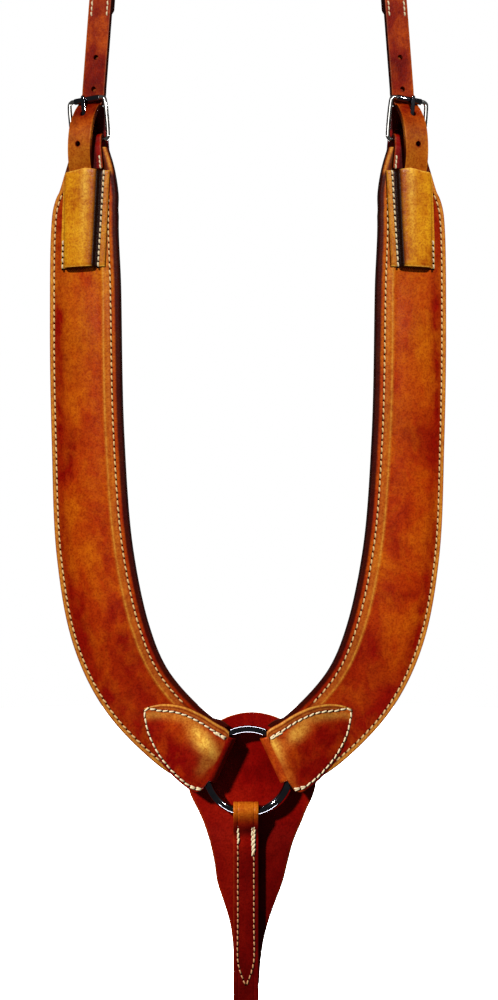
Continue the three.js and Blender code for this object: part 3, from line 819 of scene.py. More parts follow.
def leaf_tints(side, a, b, low, high):
    """Gold: painted highlights where the leaf over the ring and the right leaf's fold catch the light,
    with a golden band below the top stitches; deep red below.
    """
    band = 0.3 * bell(high - b - 11, 5) * ease((a - 50) / 20)
    streaks = 0.5 + 0.5 * np.sin(b * 1.1 + 0.8 * np.sin(b * 0.37))
    if side < 0:
        # painted highlight over the ring, with orange streaks under it
        gold = oval_patch(a, b, (55, 10), (17, 7), 0.45)
        gold = gold + 0.26 * streaks * oval_patch(a, b, (41, -4), (6, 16), 0.2)
    else:
        # painted highlights over the ring and along the fold, which faces the light
        gold = 0.75 * oval_patch(a, b, (62, 15), (12, 5.5), 0.3)
        gold = gold + 0.6 * oval_patch(a, b, (36, 12), (6, 12), 0.0)
        gold = gold + 0.14 * (0.5 + 0.5 * streaks) * bell(a - 34, 5)
    red = ease((13 - b) / 22) * (1 - 0.5 * bell(a - 36, 8))
    return np.maximum(gold, band), red


def leaf_columns(low, high):
    """Places across the strip, close together at its seams where it is wide enough for them."""
    if high - low <= 24:
        return np.linspace(low, high, 31)
    near = np.array([0, 0.8, 1.8, 2.6, 3.4, 4.2, 5.4, 6.6, 7.6, 8.6, 10])
    middle = np.linspace(low + 10, high - 10, 11)[1:-1]
    return np.concatenate([low + near, middle, high - near[::-1]])


def leaf_row(side, a, low, high):
    """Lift and tints across the leaf, in the row a distance a from the ring's middle."""
    us = leaf_columns(low, high)
    low_in, high_in = seam_insets(a)
    from_low, from_high = us - low, high - us
    seam = bell(from_low - low_in, 0.9) + bell(from_high - high_in, 0.9)
    gold, red = leaf_tints(side, a, us, low, high)
    red = np.maximum(red, 0.45 * (from_high < high_in))
    rim = 0.6 * bell(from_high - 1.2, 1.0) + 0.2 * bell(from_high - 4.6, 1.2)
    gold = np.maximum(gold * (from_high > high_in + 1), rim)
    # dark: painted shade in the sunk seams and under the rolled rim, and a dark lower edge
    dark = 0.75 * seam + 0.5 * bell(from_high - 3.2, 0.7) + 0.5 * bell(from_low, 1.0)
    return leaf_swell(a, us) - 0.5 * seam, gold, red, dark


def ring_chape(side, word):
    """The leaf in front, the fold round the ring's wire and the tab behind, as one strip."""
    skin = Skin()

    def add(front, back, low, high, lift=0.0, gold=0.0, red=0.0, dark=0.0):
        """A row across the strip, from the (distance, level) of its front and its back."""
        us = leaf_columns(low, high)
        edge = np.minimum(us - low, high - us)
        outside = leaf_place(side, front[0], us, front[1] - 0.9 * ease(1 - edge) + lift)
        inside = leaf_place(side, back[0], us, back[1])
        skin.add_sheet(outside, inside, gold, red, dark, behind=0.8)

    for a, low, high in curve(LEAF, 70):
        add((a, LEAF_FRONT), (a, FOLD_INSIDE), low, high, *leaf_row(side, a, low, high))
    # The folds: the left one is painted deep red as shade because it turns away from the light, and the
    # right one is barely tinted.
    gold, red = (0.0, 0.9) if side < 0 else (0.04, 0.1)
    for t in np.linspace(math.pi / 2, -math.pi / 2, 22):
        c, s = math.cos(t), math.sin(t)
        front = (FOLD_MIDDLE - LEAF_FRONT * c, (LEAF_FRONT + 0.8 * max(0.0, s)) * s)
        back = (FOLD_MIDDLE - FOLD_INSIDE * c, FOLD_INSIDE * s)
        add(front, back, *FOLD_EDGES, gold=gold, red=red)
    behind = -LINING_BACK + 0.3
    for a, low, high in curve(BACK_TAB, 24):
        lift = FOLD_INSIDE + (behind - FOLD_INSIDE) * ease((a - 40) / 9)
        add((a, -lift - CHAPE_THICK), (a, -lift), low, high, red=0.4)
    made = skin.loft(f"{word}_ring_chape", CHAPE_LEATHER)
    settle(made, f"{word}_shoulder", "chape_leather", f"{word}_ring_chape")


def ring_chape_stitches(side, word):
    line = np.array([s for s in curve(LEAF, 70) if 37 < s[0] < 116])
    insets = np.array([seam_insets(a) for a in line[:, 0]])
    low = np.stack([line[:, 0], line[:, 1] + insets[:, 0]], axis=1)[::-1]
    high = np.stack([line[:, 0], line[:, 2] - insets[:, 1]], axis=1)

    def lifted(points):
        a, b = respaced(points, 1.0).T
        n = LEAF_FRONT - 0.3 + leaf_swell(a, b)
        p = leaf_place(side, a, b, n)
        return p, leaf_place(side, a, b, n + 1) - p

    body, name = f"{word}_shoulder", f"{word}_ring_chape"
    round_leaf = [lifted(np.vstack([low, [LEAF_TIP], high]))]
    long = {"pitch": 6.3, "length": 4.4, "radius": 0.95, "bore": 1.3}
    stitches(f"{name}_stitches", body, round_leaf, THREAD, **long)
    again = [lifted(low[:9] + [0, 1.3]), lifted(high[-11:] - [0, 1.5])]
    close = {"pitch": 4.8, "length": 4.6, "radius": 1.0, "slant": -8}
    stitches(f"{name}_backstitches", body, again, THREAD, **close)


# ---- keeper ----
KEEPER_TOP, KEEPER_LOW = 602, 506
KEEPER_TOP_OUTBOARD, KEEPER_LOW_OUTBOARD = 165.2, 167
KEEPER_HALF = 17  # half the width of the raised part, at its foot
KEEPER_FLANGE = 5

# Half sections, across and level: the outside and the inside of the moulded leather.
KEEPER_OUTSIDE = [(0, 13.6), (5, 13.5), (10.5, 13.2), (13.2, 12.7), (14.8, 11.6), (15.7, 10.2)]
KEEPER_OUTSIDE += [(16.2, 8.7), (16.7, 7.6), (17.6, 7.1), (19.2, 7.0), (20.8, 7.0)]
KEEPER_OUTSIDE += [(21.7, 6.6), (22, 5.9)]
KEEPER_INSIDE = [(0, 10.3), (6, 10.3), (10.5, 10.3), (12.6, 10.1), (13.9, 9.2), (14.1, 7.6)]
KEEPER_INSIDE += [(14.2, 6.0), (14.6, 4.8), (15.6, 4.3), (18, 4.3), (20, 4.3), (21.6, 4.4)]
KEEPER_INSIDE += [(22, 4.9)]


def keeper_rise(z):
    """Share of the keeper's height."""
    return (z - KEEPER_LOW) / (KEEPER_TOP - KEEPER_LOW)


def keeper_middle(z):
    return KEEPER_LOW_OUTBOARD + (KEEPER_TOP_OUTBOARD - KEEPER_LOW_OUTBOARD) * keeper_rise(z)


def keeper_across(z, across):
    """The section's places across, opened towards the top for the strap.

    The inboard flange reaches further, and the outboard one narrows with the shoulder."""
    inboard = across < 0
    bulge = np.where(inboard, 3.6 * keeper_rise(z), 1.7 * bell(z - 575, 42)) + KEEPER_HALF
    heights = np.linspace(KEEPER_LOW, KEEPER_TOP, 4)
    outboard_reach = np.interp(z, heights, [22, 22, 21.4, 19.8])
    reach = np.where(inboard, 26.2 + 3.4 * keeper_rise(z), outboard_reach)
    size = np.abs(across)
    flange = np.clip((size - KEEPER_HALF) / KEEPER_FLANGE, 0, 1)
    spread_out = np.minimum(size / KEEPER_HALF, 1) * bulge + flange * (reach - bulge)
    return np.sign(across) * spread_out


def keeper(side, word):
    halves = (KEEPER_OUTSIDE, KEEPER_INSIDE)
    outer, inner = (np.array([(-u, n) for u, n in h[:0:-1]] + h, float) for h in halves)
    skin = Skin()
    for z in np.linspace(KEEPER_TOP, KEEPER_LOW, 61):
        end = min(KEEPER_TOP - z, z - KEEPER_LOW)
        rim = 0.65 * (1 - ease(end / 2.0))
        middle = keeper_middle(z)
        slope = math.cos(float(chest_angle(middle)))
        lip = 2.6 * bell(KEEPER_TOP - z, 4) * bell(outer[:, 0] + 5, 8)

        def placed(points, drop):
            u = keeper_across(z, points[:, 0])
            sag = 0.5 * bell(z - 548, 26) * bell(u, 9)
            return on_chest(side, middle + u * slope, z + lip, points[:, 1] - drop - sag)

        u = outer[:, 0]
        # stripe: a painted highlight down the bulge; the red beyond it on the inboard side is painted
        # shade
        stripe = -7.5 + 3 * keeper_rise(z)
        tan = 0.7 * (1 - ease(end / 1.8)) + 0.16 * (np.abs(u) > 19) + 0.6 * bell(u - stripe, 1.6)
        red = 0.85 * ease((stripe - 1.5 - u) / 4) + 0.5 * bell(z - 520, 9) * bell(u + 12, 4)
        # painted shade on the inboard wall and in the creases at the bulge's foot
        wall = ease((-12.6 - u) / 1.6) * ease((u + 18.8) / 0.6)
        crease = 0.55 * bell(np.abs(u) - 17.4, 0.8)
        skin.add_sheet(placed(outer, rim), placed(inner, 0), tan, red, wall + crease, behind=0.9)
    made = skin.loft(f"{word}_keeper", KEEPER_LEATHER)
    settle(made, f"{word}_shoulder", "keeper_leather", f"{word}_keeper")


def keeper_stitches(side, word):
    """A long row down the inboard flange and a short one at the outboard flange's foot."""
    runs = []
    for start, end in (((-23.8, 600), (-19.4, 508)), ((19.6, 532), (19.6, 508))):
        across, z = np.linspace(start, end, 60).T
        o = keeper_middle(z) + across * math.cos(float(chest_angle(165.0)))
        p = on_chest(side, o, z, 7.0)
        runs.append((p, on_chest(side, o, z, 8.0) - p))
    sewn = {"pitch": 5.8, "radius": 0.95, "bore": 1.3}
    stitches(f"{word}_keeper_stitches", f"{word}_shoulder", runs, THREAD, **sewn)


# ---- buckle ----
def turned(axis, degrees):
    return np.array(Matrix.Rotation(math.radians(degrees), 3, axis))


class Place:
    """A flat frame of millimetres: x across, -y forward, z up."""

    def __init__(self, turn, origin):
        self.turn, self.origin = turn, origin

    def points(self, xyz):
        return self.origin + MM * self.way(xyz)

    def way(self, xyz):
        return np.asarray(xyz, float) @ self.turn.T


def buckle_place(side):
    heel = math.degrees(float(chest_angle(BUCKLE_OUTBOARD)))
    turn = turned("Z", side * heel) @ turned("Y", side * BUCKLE_LEAN)
    return Place(turn, on_chest(side, BUCKLE_OUTBOARD, BUCKLE_HEIGHT, HEEL_LEVEL))


def strap_place(side):
    """The standing strap's frame: it starts at the roller and leans inboard."""
    place = buckle_place(side)
    turn = place.turn @ turned("Y", -side * (BUCKLE_LEAN + STRAP_LEAN))
    return Place(turn, place.points([side * -STRAP_INBOARD, ROLLER_Y, BUCKLE_LENGTH]))


def buckle_frame(side, word):
    """Two side bars that turn in at both ends, with the heel bar and the roller's bar."""
    place = buckle_place(side)
    x = (BUCKLE_INNER + BUCKLE_WIRE) / 2
    radius = BUCKLE_WIRE / 2 * MM
    heel = [(x - 6, 0, 0), (x - 3, 0, 0.1), (x - 0.8, 0, 1.6), (x, 0, 5)]
    top = [(u, ROLLER_Y, BUCKLE_LENGTH - z) for u, _, z in heel[::-1]]
    parts = []
    for way in (1, -1):
        line = curve(np.array(heel + top) * [way, 1, 1], 60)
        parts.append(tube_points(place.points(line), radius, sides=20))
    for y, z, share in ((0, 0, 0.9), (ROLLER_Y, BUCKLE_LENGTH, 0.8)):
        line = place.points(np.linspace((-x + 3, y, z), (x - 3, y, z), 8))
        parts.append(tube_points(line, radius * share, sides=20))
    made = merged(f"{word}_buckle_frame", parts, NICKEL)
    settle(made, f"{word}_shoulder", "nickel", f"{word}_buckle_frame")


def roller(side, word):
    """A sleeve with softened ends."""
    place = buckle_place(side)
    half, radius = ROLLER_HALF, ROLLER_RADIUS
    ends = [(0, radius - 0.9), (0, radius - 0.4), (0.25, radius - 0.1), (0.8, radius)]
    shape = [(inset - half, r) for inset, r in ends] + [(half - inset, r) for inset, r in ends[::-1]]
    turns = full_turn(28)[:, None]
    spokes = np.cos(turns) * place.way([0, 1, 0]) + np.sin(turns) * place.way([0, 0, 1])
    loops = [place.points((v, ROLLER_Y, BUCKLE_LENGTH)) + MM * r * spokes for v, r in shape]
    made = loft(f"{word}_buckle_roller", loops, DARK_STEEL)
    settle(made, f"{word}_roller", "nickel", f"{word}_buckle_roller")


def tongue(side, word):
    """A flat steel tongue, its root curled round the heel bar."""
    place = buckle_place(side)
    eye = BUCKLE_WIRE / 2 + 1.25
    middle = ROLLER_Y - ROLLER_RADIUS - 1.3
    curl = [(eye * math.cos(a), eye * math.sin(a)) for a in np.radians(np.linspace(60, -200, 14))]
    blade = [(middle + 0.4, 6.5), (middle + 0.35, 14), (middle, 28), (middle, BUCKLE_LENGTH - 2)]
    blade += [(middle + 0.1, BUCKLE_LENGTH + 1.4), (middle + 0.5, BUCKLE_LENGTH + 3.2)]
    line = curve(curl + blade, 80)
    path = place.points([(side * TONGUE_OUTBOARD, y, z) for y, z in line])
    across, normal = frames_along(path, np.tile(place.way([1, 0, 0]), (len(path), 1)))
    rows = []
    for i, (p, a, n) in enumerate(zip(path, across, normal)):
        wide = 2.3 - 0.5 * ease((i - 66) / 14)
        loop = edged(np.linspace(-wide, wide, 5), 1.1, -1.1, 0.8)
        rows.append(p + MM * (loop[:, :1] * a + loop[:, 1:2] * n))
    made = loft(f"{word}_buckle_tongue", rows, DARK_STEEL)
    settle(made, f"{word}_tongue", "nickel", f"{word}_buckle_tongue")


def ribbon(name, path, across, width, thick, material, tints, sinks=(), columns=13, taper=None):
    """A flat strap along a path. sinks are places across where a seam is drawn down in front."""
    across, normal = frames_along(path, across)
    skin = Skin()
    for i, (p, a, n) in enumerate(zip(path, across, normal)):
        half = width / 2 * (1 if taper is None else taper[i])
        us = np.linspace(-half, half, columns)
        if sinks:
            extra = np.array([s + d for s in sinks for d in (-1.2, -0.6, 0, 0.6, 1.2)])
            us = np.sort(np.concatenate([us, np.clip(extra, -half + 0.1, half - 0.1)]))
        front = thick / 2 - sum(0.4 * bell(us - s, 0.7) for s in sinks)
        loop = edged(us, front, -thick / 2, min(1.1, thick * 0.34))
        tan = 0.6 * ease((1.6 - (half - np.abs(loop[:, 0]))) / 1.2) * (loop[:, 1] > 0)
        dark = 0.85 * ((loop[:, 2] > 0) & (loop[:, 1] < thick * 0.3))
        tan, dark = tints(i, loop, tan, dark)
        skin.add(p + MM * (loop[:, :1] * a + loop[:, 1:2] * n), tan=tan, dark=dark)
    return skin.loft(name, material)


def tongue_slot():
    """The block that cuts the tongue's slot in the buckle chape."""
    mesh = bpy.data.meshes.new("slot")
    work = bmesh.new()
    bmesh.ops.create_cube(work, size=1)
    bmesh.ops.scale(work, vec=(6.4 * MM, 15 * MM, 18 * MM), verts=work.verts)
    work.to_mesh(mesh)
    work.free()
    return show("slot", mesh)


def buckle_chape(side, word):
    """A strip round the heel bar, its two plies in front of the shoulder and behind it."""
    place = buckle_place(side)
    bar = BUCKLE_WIRE / 2 + 0.35 + CHAPE_THICK / 2
    front = HEEL_LEVEL - FACE_FRONT - 0.3 - CHAPE_THICK / 2
    back = HEEL_LEVEL - LINING_BACK + 0.9 + CHAPE_THICK / 2
    line = [(front, -30.5), (front, -20), (front, -9), (front + 1.2, -4.5)]
    line += [(-bar * math.cos(a), bar * math.sin(a)) for a in np.radians(np.linspace(0, 180, 9))]
    line += [(back - 1.2, -4.5), (back, -9), (back, -18), (back, -27), (back, -36)]
    path = place.points([(0, y, z) for y, z in curve(line, 70)])
    across = np.tile(place.way([-1, 0, 0]), (len(path), 1))

    def shade_under_strap(i, loop, tan, dark):
        """Painted shade: the chape is dark where the strap's shadow falls on it, all but its inboard
        edge.
        """
        under = 1 - ease((loop[:, 0] * side - 7) / 3)
        return 0.4 * tan, np.maximum(dark, 0.85 * under)

    name = f"{word}_buckle_chape"
    made = ribbon(name, path, across, CHAPE_WIDTH, CHAPE_THICK, OXBLOOD, shade_under_strap)
    slot = tongue_slot()
    middle = place.points([side * TONGUE_OUTBOARD, 0, 3.2])
    slot.matrix_world = Matrix.Translation(middle) @ Matrix(place.turn).to_4x4()
    cut(made, slot)
    settle(made, f"{word}_shoulder", "oxblood_leather", name)
    outside, inside = front - CHAPE_THICK / 2, back + CHAPE_THICK / 2
    lanes = [(u, outside, -20, -29, -1) for u in (-11.6, 11.6)]
    lanes += [(u, inside, -8, -33, 1) for u in (-11.6, 11.6)]
    stitches(f"{name}_stitches", f"{word}_shoulder", straight_runs(place, lanes), THREAD)


def buckle_safe(side, word):
    """The thin leather behind the buckle, cut round at its top."""
    place = buckle_place(side)
    half, low, high, thick, corner = 15, -30, 37, 2.2, 5
    middle = HEEL_LEVEL - LINING_BACK + 0.9 + CHAPE_THICK + 0.3 + thick / 2
    skin = Skin()
    rounding = high - corner + corner * np.sin(np.linspace(0.15, 1.5, 10))
    for z in np.concatenate([np.linspace(low, high - corner, 24), rounding]):
        rise = max(0.0, (z - (high - corner)) / corner)
        reach = half - corner * (1 - math.sqrt(max(0.0, 1 - rise * rise)))
        loop = edged(np.linspace(-reach, reach, 13), thick / 2, -thick / 2, 0.7)
        lean = 0.5 * ease((z - 5) / 31)
        # Painted shade: the face is dark, all but a strip at one side below the tail that lies out of
        # its shadow, and its edges are dark.
        out_of_shadow = ease((-side * loop[:, 0] - 9) / 3) * (z < 12)
        dark = np.where(loop[:, 2] > 0, 0.7, 0.85 * (1 - out_of_shadow))
        skin.add(place.points([(u, middle - n + lean, z) for u, n, _ in loop]), dark=dark)
    made = skin.loft(f"{word}_buckle_safe", OXBLOOD)
    settle(made, f"{word}_shoulder", "oxblood_leather", f"{word}_buckle_safe")


# ---- tug strap: one piece from the keeper, behind the roller, up to its saddle loop ----
ROLLER_GAP = 0.65
LOOP_SEAM = 8.6  # from the strap's middle to the saddle loop's stitches
TONGUE_HOLE = 3.2
THROUGH = 14
BLIND = 1.4  # depth of the holes that show dark


def tug_line(side, place, near):
    """The strap's middle line and its across directions, with the loop's two plies apart."""
    heel = float(chest_angle(BUCKLE_OUTBOARD))
    front, back = near + STRAP_THICK / 2, near + STRAP_THICK * 1.5
    radius = LOOP_RADIUS + STRAP_THICK / 2
    stand = [(front, v) for v in (4, 12, 28, 50, 74, 94, 108)]
    stand += [(front - 1.6, 119), (front - 4.6, 127)]
    stand += [tuple(p) for p in arc(near + STRAP_THICK, LOOP_HEIGHT, radius, 192, -12, 12)]
    stand += [(back + 4.6, 127), (back + 1.6, 119), (back, 108), (back, 96), (back, 84)]
    tail = [on_chest(side, *p) for p in TAIL]
    points = np.array(tail + [place.points((0, y, v)) for y, v in stand])
    ways = [np.array([-math.cos(heel), -side * math.sin(heel), 0])] * len(tail)
    ways += [place.way([-1, 0, 0])] * len(stand)
    both = respaced(curve(np.hstack([points / MM, np.array(ways) * 30]), 500), 2.2)
    return both[:, :3] * MM, unit(both[:, 3:])


def tug_holes(side, word, place, front):
    """Two holes through the tail, the upper one for the tongue, and two blind ones above."""
    heel = float(chest_angle(BUCKLE_OUTBOARD))
    outward = np.array([math.sin(heel) * side, -math.cos(heel), 0])
    behind = place.way([0, 1, 0])
    holes = []
    for centre, way, radius, depth in (
        (on_chest(side, 165.6, 628.5, 13), outward, HOLE_RADIUS, THROUGH),
        (on_chest(side, 164.0, 661, 6), outward, TONGUE_HOLE, THROUGH),
        (place.points((0, front, 11)), behind, HOLE_RADIUS, BLIND),
        (place.points((0, front, 43)), behind, HOLE_RADIUS, BLIND),
    ):
        ends = np.linspace(centre - way * THROUGH * MM, centre + way * depth * MM, 4)
        holes.append(tube_points(ends, radius * MM, sides=24, ends=False))
    shadow = np.ones(sum(len(rows) * len(rows[0]) for rows in holes))
    return merged(f"{word}_punch", holes, STRAP_LEATHER, dark=shadow)


def tug(side, word):
    place = strap_place(side)
    near = ROLLER_RADIUS + ROLLER_GAP
    front = near + STRAP_THICK / 2
    path, across = tug_line(side, place, near)
    length = distances(path) / MM

    def tints(i, loop, tan, dark):
        """The tail is tanner than the strap above. Its inboard edge is painted dark as shade, with a
        painted highlight where it bends.
        """
        lower = 1 - ease((length[i] - 98) / 46)
        tan = tan + 0.55 * lower * (loop[:, 1] > 0)
        turn = bell(path[i, 2] / MM - 640, 14) * (length[i] < 150)
        inner = (loop[:, 0] * side > 10.6) & (loop[:, 2] > 0)
        return np.where(inner, 0.8 * turn, tan), np.where(inner, 0.95 - 0.95 * turn, dark)

    taper = np.minimum(1, 0.62 + 0.38 * ease(np.minimum(length, length[-1] - length) / 9))
    name, body = f"{word}_tug_strap", f"{word}_tug"
    sizes = (STRAP_WIDTH, STRAP_THICK)
    made = ribbon(name, path, across, *sizes, STRAP_LEATHER, tints, taper=taper)
    cut(made, tug_holes(side, word, place, front))
    start = place.points((0, front, -7)).tolist()
    end = place.points((0, front, 9)).tolist()
    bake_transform(made)
    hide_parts(f"{word}_tug_tail", f"{word}_tug_strap")
    far = near + 2 * STRAP_THICK
    lanes = [(u, y, 87, 108, way) for u in (-LOOP_SEAM, LOOP_SEAM) for y, way in ((near, -1), (far, 1))]
    stitches(f"{word}_saddle_loop_stitches", body, straight_runs(place, lanes), THREAD)


# ---- centre: ring, safe, strap and snap ----
STRAP_SEAM = 8.0  # either side of the centre strap's middle
END_SEAM = 8.6
STRAP_PLY = 4.04  # the two plies press together
RING_ROOM = 3.45  # from the ring's wire to the middle of the strap round it
EYE_ROOM = 1.8


def centre_ring():
    turns = full_turn(160)
    path = MM * RING_RADIUS * np.stack([np.cos(turns), np.zeros(160), np.sin(turns)], axis=1)
    made = tube("centre_ring", path, RING_WIRE / 2 * MM, DARK_STEEL, sides=32, closed=True)
    settle(made, "ring", "ring_steel", "centre_ring")


def safe_rows():
    """Height, middle, half width and front level, from the round top down."""
    r = SAFE_TOP
    turns = np.radians([89, 84, 78, 70, 62, 53, 44, 35, 26, 17, 8, 0])
    top = [(r["height"] + r["up"] * math.sin(a), r["middle"], r["half"] * math.cos(a)) for a in turns]
    line = curve(top + SAFE_LOWER, 150)
    z, front = line[:, 0], -(STRAP_BACK + 0.1)
    level = np.where(z > -43, SAFE_FRONT, front + (SAFE_FRONT - front) * ease((z + 82) / 39))
    return np.column_stack([line, level])


def safe():
    """The leather behind the ring and the centre strap. It bends between them."""
    skin = Skin()
    for z, middle, half, level in safe_rows():
        us = np.linspace(-half, half, 34)
        droop = 0.8 * np.sin(us / 26) * ease((z + 30) / 60)
        loop = edged(us, level + droop, level - SAFE_THICK + droop, 1.0)
        u, n, side = loop.T
        upper = ease((z - 20) / 20)
        rim = ease((1.4 - (half - np.abs(u))) / 0.8) * (n > level - 2)
        # dusk: painted shade, darker towards the bottom and more so on the right; the right edge is
        # painted dark as shade below the top
        dusk = 0.45 * ease((-30 - z) / 40) * (0.6 + 0.4 * (u > 0))
        dark = np.where((side > 0) & (u > 0), 0.8 * (1 - upper), dusk)
        skin.add(on_chest(1, middle + u, z, n), tan=rim * (0.25 + 0.5 * upper), dark=dark)
    made = skin.loft("ring_safe", OXBLOOD)
    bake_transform(made)
    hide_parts("ring_safe_upper", "ring_safe_lower")


def centre_strap_line():
    """Its (depth, height): up the back, round the ring, down the front and round the eye."""
    ring = RING_WIRE / 2 + RING_ROOM
    eye = EYE_BAR + EYE_ROOM
    line = [(2, -214), (2, -170), (2, -120), (2, -80), (2.2, -62), (4.2, -52)]
    line += [tuple(p) for p in arc(0, FOLD_HEIGHT, ring, -24, 204, 14)]
    line += [(-4.2, -52), (-2.2, -62), (-2, -80), (-2, -120), (-2, -170)]
    line += [(-2, -214), (-2, -250), (-2, -270), (-3.2, -279)]
    line += [tuple(p) for p in arc(0, EYE_HEIGHT, eye, 170, 370, 12)]
    line += [(3.2, -279), (2, -270), (2, -258), (2, -244)]
    return respaced(curve(line, 600), 2.0)


def centre_strap():
    line = centre_strap_line()
    path = MM * np.column_stack([np.full(len(line), STRAP_SHIFT), line])
    across = np.tile(np.array([1.0, 0, 0]), (len(path), 1))

    def tints(i, loop, tan, dark):
        """Painted highlight over the ring and a faint one on the left edge, painted shade in the dip
        below the fold and in the sunk seams, and darker further down.
        """
        y, z = line[i]
        front = loop[:, 1] > 0
        fold = bell(z - (FOLD_HEIGHT + 4), 9) if y < 4 else 0
        tan = np.where(front, np.maximum(0.15 * tan * (loop[:, 0] < 0), 0.64 * fold), 0)
        seam = bell(np.abs(loop[:, 0]) - STRAP_SEAM, 0.8) * (-212 < z < -50) * (y < 0)
        lip = 0.75 * bell(z + 58, 7) * (y < 0)
        # worn: the strap's front is darker below the fold
        worn = 0.42 * ease((-66 - z) / 20) * (y < 0)
        return tan, np.maximum(dark, np.maximum(0.6 * seam, max(lip, worn)) * front)

    name, sinks = "centre_strap", (-STRAP_SEAM, STRAP_SEAM)
    made = ribbon(name, path, across, STRAP_WIDTH, STRAP_PLY, OXBLOOD, tints, sinks, columns=15)
    settle(made, name, "oxblood_leather", name)


def centre_strap_stitches():
    """Two rows that close in a point above the free end, short ones below and a doubled start."""
    front, back = -(2 + STRAP_PLY / 2), 2 + STRAP_PLY / 2

    def run(points, y, way):
        flat = respaced(curve(points, 200), 1.0)
        p = MM * np.column_stack([STRAP_SHIFT + flat[:, 0], np.full(len(flat), y), flat[:, 1]])
        return p, np.tile(np.array([0.0, way, 0.0]), (len(flat), 1))

    runs = []
    for s in (-1, 1):
        line = [(s * STRAP_SEAM, z) for z in (-53, -100, -150, -188)]
        runs.append(run(line + [(s * 5.4, -200), (s * 1.6, -210)], front, -1))
        for y, way in ((front, -1), (back, 1)):
            runs.append(run([(s * END_SEAM, -248), (s * END_SEAM, -268)], y, way))
    body, name = "centre_strap", "centre_strap_stitches"
    stitches(name, body, runs, OLD_THREAD, radius=0.75, bore=0.85)
    doubled = [
        run([(-STRAP_SEAM, -53), (-STRAP_SEAM + 0.5, -69)], front, -1),
        run([(STRAP_SEAM - 1.8, -56), (STRAP_SEAM - 1.2, -81)], front, -1),
        run([(STRAP_SEAM + 0.6, -55), (STRAP_SEAM, -79)], front, -1),
    ]
    close = {"pitch": 4.9, "length": 4.9, "radius": 1.05, "slant": -10}
    stitches("centre_strap_backstitches", body, doubled, THREAD, **close)


def snap():
    """The snap's own CAD shapes, smooth and plated."""
    for node in ("snap_eye", "snap_body", "snap_bolt"):
        shown = frame["nodes"][node]
        shown.data.materials.clear()
        shown.data.materials.append(NICKEL)
        shown.data.shade_smooth()
        shown.data.set_sharp_from_angle(angle=math.radians(38))


def snap_spring():
    """The coil that pushes the bolt shut."""
    turns = np.linspace(0, 2 * math.pi * SPRING_TURNS, 24 * SPRING_TURNS + 1)
    rise = np.linspace(SPRING_LOW + 0.5, SPRING_TOP - 0.5, len(turns))
    x, y = STRAP_SHIFT + SPRING_COIL * np.cos(turns), SPRING_COIL * np.sin(turns)
    path = MM * np.stack([x, y, rise], axis=1)
    made = tube("snap_spring", path, SPRING_WIRE * MM, NICKEL, sides=8)
    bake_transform(made)
    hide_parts("snap_spring")


for side, word in SIDES:
    face_and_lining(side, word)
    shoulder_stitches(side, word)
    ring_chape(side, word)
    ring_chape_stitches(side, word)
    keeper(side, word)
    keeper_stitches(side, word)
    buckle_frame(side, word)
    roller(side, word)
    tongue(side, word)
    buckle_chape(side, word)
    buckle_safe(side, word)
    tug(side, word)
centre_ring()
safe()
centre_strap()
centre_strap_stitches()
snap()
snap_spring()


# ---- camera, floor and light ----
FLOOR_LEVEL = -0.40
FLOOR_RADIUS = 3.2
FLOOR_SIDES = 64
EYE = Vector((0.001, -1.4, 0.271))
LENS = 50.4


def look_at(obj, target):
    way = Vector(target) - obj.location
    obj.rotation_euler = way.to_track_quat("-Z", "Y").to_euler()


def camera():
    made = show("camera", bpy.data.cameras.new("camera"))
    made.data.sensor_width = 36
    made.data.lens = LENS
    made.location = EYE
    look_at(made, (EYE.x, 0, EYE.z))
    bpy.context.scene.camera = made


def floor():
    """A round pale floor that the camera sees and that throws no light back on the leather."""
    turns = full_turn(FLOOR_SIDES)
    rim = [(FLOOR_RADIUS * math.cos(a), FLOOR_RADIUS * math.sin(a), FLOOR_LEVEL) for a in turns]
    mesh = bpy.data.meshes.new("floor")
    mesh.from_pydata(rim, [], [tuple(range(FLOOR_SIDES))])
    pale = bpy.data.materials.new("pale_floor")
    pale.use_nodes = True
    shader = pale.node_tree.nodes["Principled BSDF"]
    shader.inputs["Base Color"].default_value = (0.86, 0.86, 0.86, 1)
    shader.inputs["Roughness"].default_value = 0.9
    shader.inputs["Emission Color"].default_value = (1, 1, 1, 1)
    shader.inputs["Emission Strength"].default_value = 0.5
    mesh.materials.append(pale)
    made = show("floor", mesh)
    made.visible_diffuse = False
    made.visible_glossy = False
    made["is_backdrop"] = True


def world():
    """White to the camera and dim to everything else."""
    made = bpy.data.worlds.new("studio")
    bpy.context.scene.world = made
    made.use_nodes = True
    nodes, links = made.node_tree.nodes, made.node_tree.links
    backdrop, ambient = nodes["Background"], nodes.new("ShaderNodeBackground")
    for shader, strength in ((backdrop, 1.0), (ambient, 0.07)):
        shader.inputs["Color"].default_value = (1, 1, 1, 1)
        shader.inputs["Strength"].default_value = strength
    seen = nodes.new("ShaderNodeLightPath")
    choose = nodes.new("ShaderNodeMixShader")
    links.new(seen.outputs["Is Camera Ray"], choose.inputs["Fac"])
    links.new(ambient.outputs["Background"], choose.inputs[1])
    links.new(backdrop.outputs["Background"], choose.inputs[2])
    links.new(choose.outputs["Shader"], nodes["World Output"].inputs["Surface"])


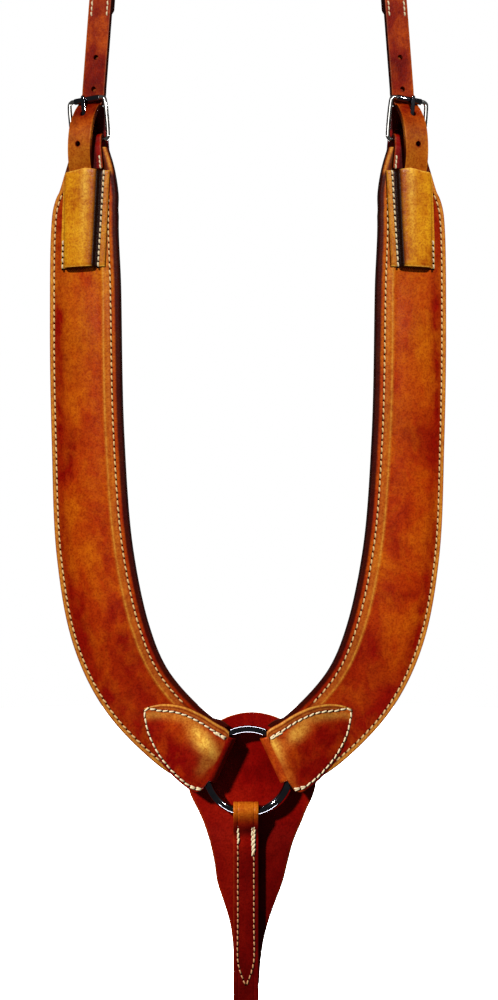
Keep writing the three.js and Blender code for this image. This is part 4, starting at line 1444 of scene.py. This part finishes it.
def lamp(name, place, target, power, size, chosen=None, wide=None):
    """A square soft box, or an oblong one where wide is given.

    Where chosen is given, it lights only the floor and the pieces whose names pass that test."""
    data = bpy.data.lights.new(name, "AREA")
    data.energy = power
    data.size = wide or size
    if wide:
        data.shape = "RECTANGLE"
        data.size_y = size
    made = show(name, data)
    made.location = place
    made.visible_camera = False
    look_at(made, target)
    if chosen:
        lit = bpy.data.collections.new(f"{name}_pieces")
        for o in bpy.context.scene.objects:
            if o.type == "MESH" and (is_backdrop(o) or chosen(o.name)):
                lit.objects.link(o)
        made.light_linking.receiver_collection = lit
    return made


def named(*words):
    """A test for the pieces with one of these words in their names."""
    return lambda name: any(word in name for word in words)


def in_middle(name):
    return not name.startswith(("left_", "right_")) or "ring_chape" in name


def on_side(word):
    return lambda name: name.startswith(word + "_") and not in_middle(name)


def lights():
    """Each shoulder has its own key and a weak fill. The middle is lit from the upper left."""
    ring, snap_pieces, buckle_bars = named("centre_ring"), named("snap_"), named("buckle_frame")
    steel = named("buckle_frame", "buckle_roller", "buckle_tongue")
    plated = named("buckle_frame", "snap_")
    for side, word in SIDES:
        lamp(f"key_{word}", (side * 1.6, -3.6, 2.5), (0, 0, 0.3), 190, 0.3, on_side(word))
        lamp(f"fill_{word}", (side * -2.4, -2.6, 0.9), (0, 0, 0.3), 22, 0.5, on_side(word))
        lamp(f"snap_{word}", (side * 1.5, -1.1, 0.4), (0, 0, -0.3), 26, 1.5, snap_pieces)
    lamp("key_middle", (-2.3, -2.3, 2.05), (0, 0, 0), 235, 0.3, in_middle)
    lamp("glint_right", (1.9, -2.1, 1.9), (0, 0, 0), 160, 0.2, ring)
    lamp("glint_top", (0, 0.35, 1.6), (0, 0, 0), 60, 0.25, ring, wide=2.6)
    lamp("glint_low", (0, -0.14, -0.36), (0, 0, 0.1), 3, 0.05, ring, wide=0.5)
    lamp("glint_buckle", (1.9, -2.1, 1.9), (0, 0, 0.65), 120, 0.2, steel)
    lamp("glint_frame", (-0.5, -2.6, 1.6), (0, 0, 0.6), 22, 1.4, buckle_bars)
    lamp("plate_back", (0.4, 1.8, 0.4), (0, 0, 0), 30, 1.6, plated)
    back = lamp("back_fill", (0.6, 3.0, 1.6), (0, 0, 0.2), 90, 2.0)
    back.visible_glossy = False


camera()
floor()
world()
lights()
bpy.context.scene.view_settings.view_transform = "Standard"
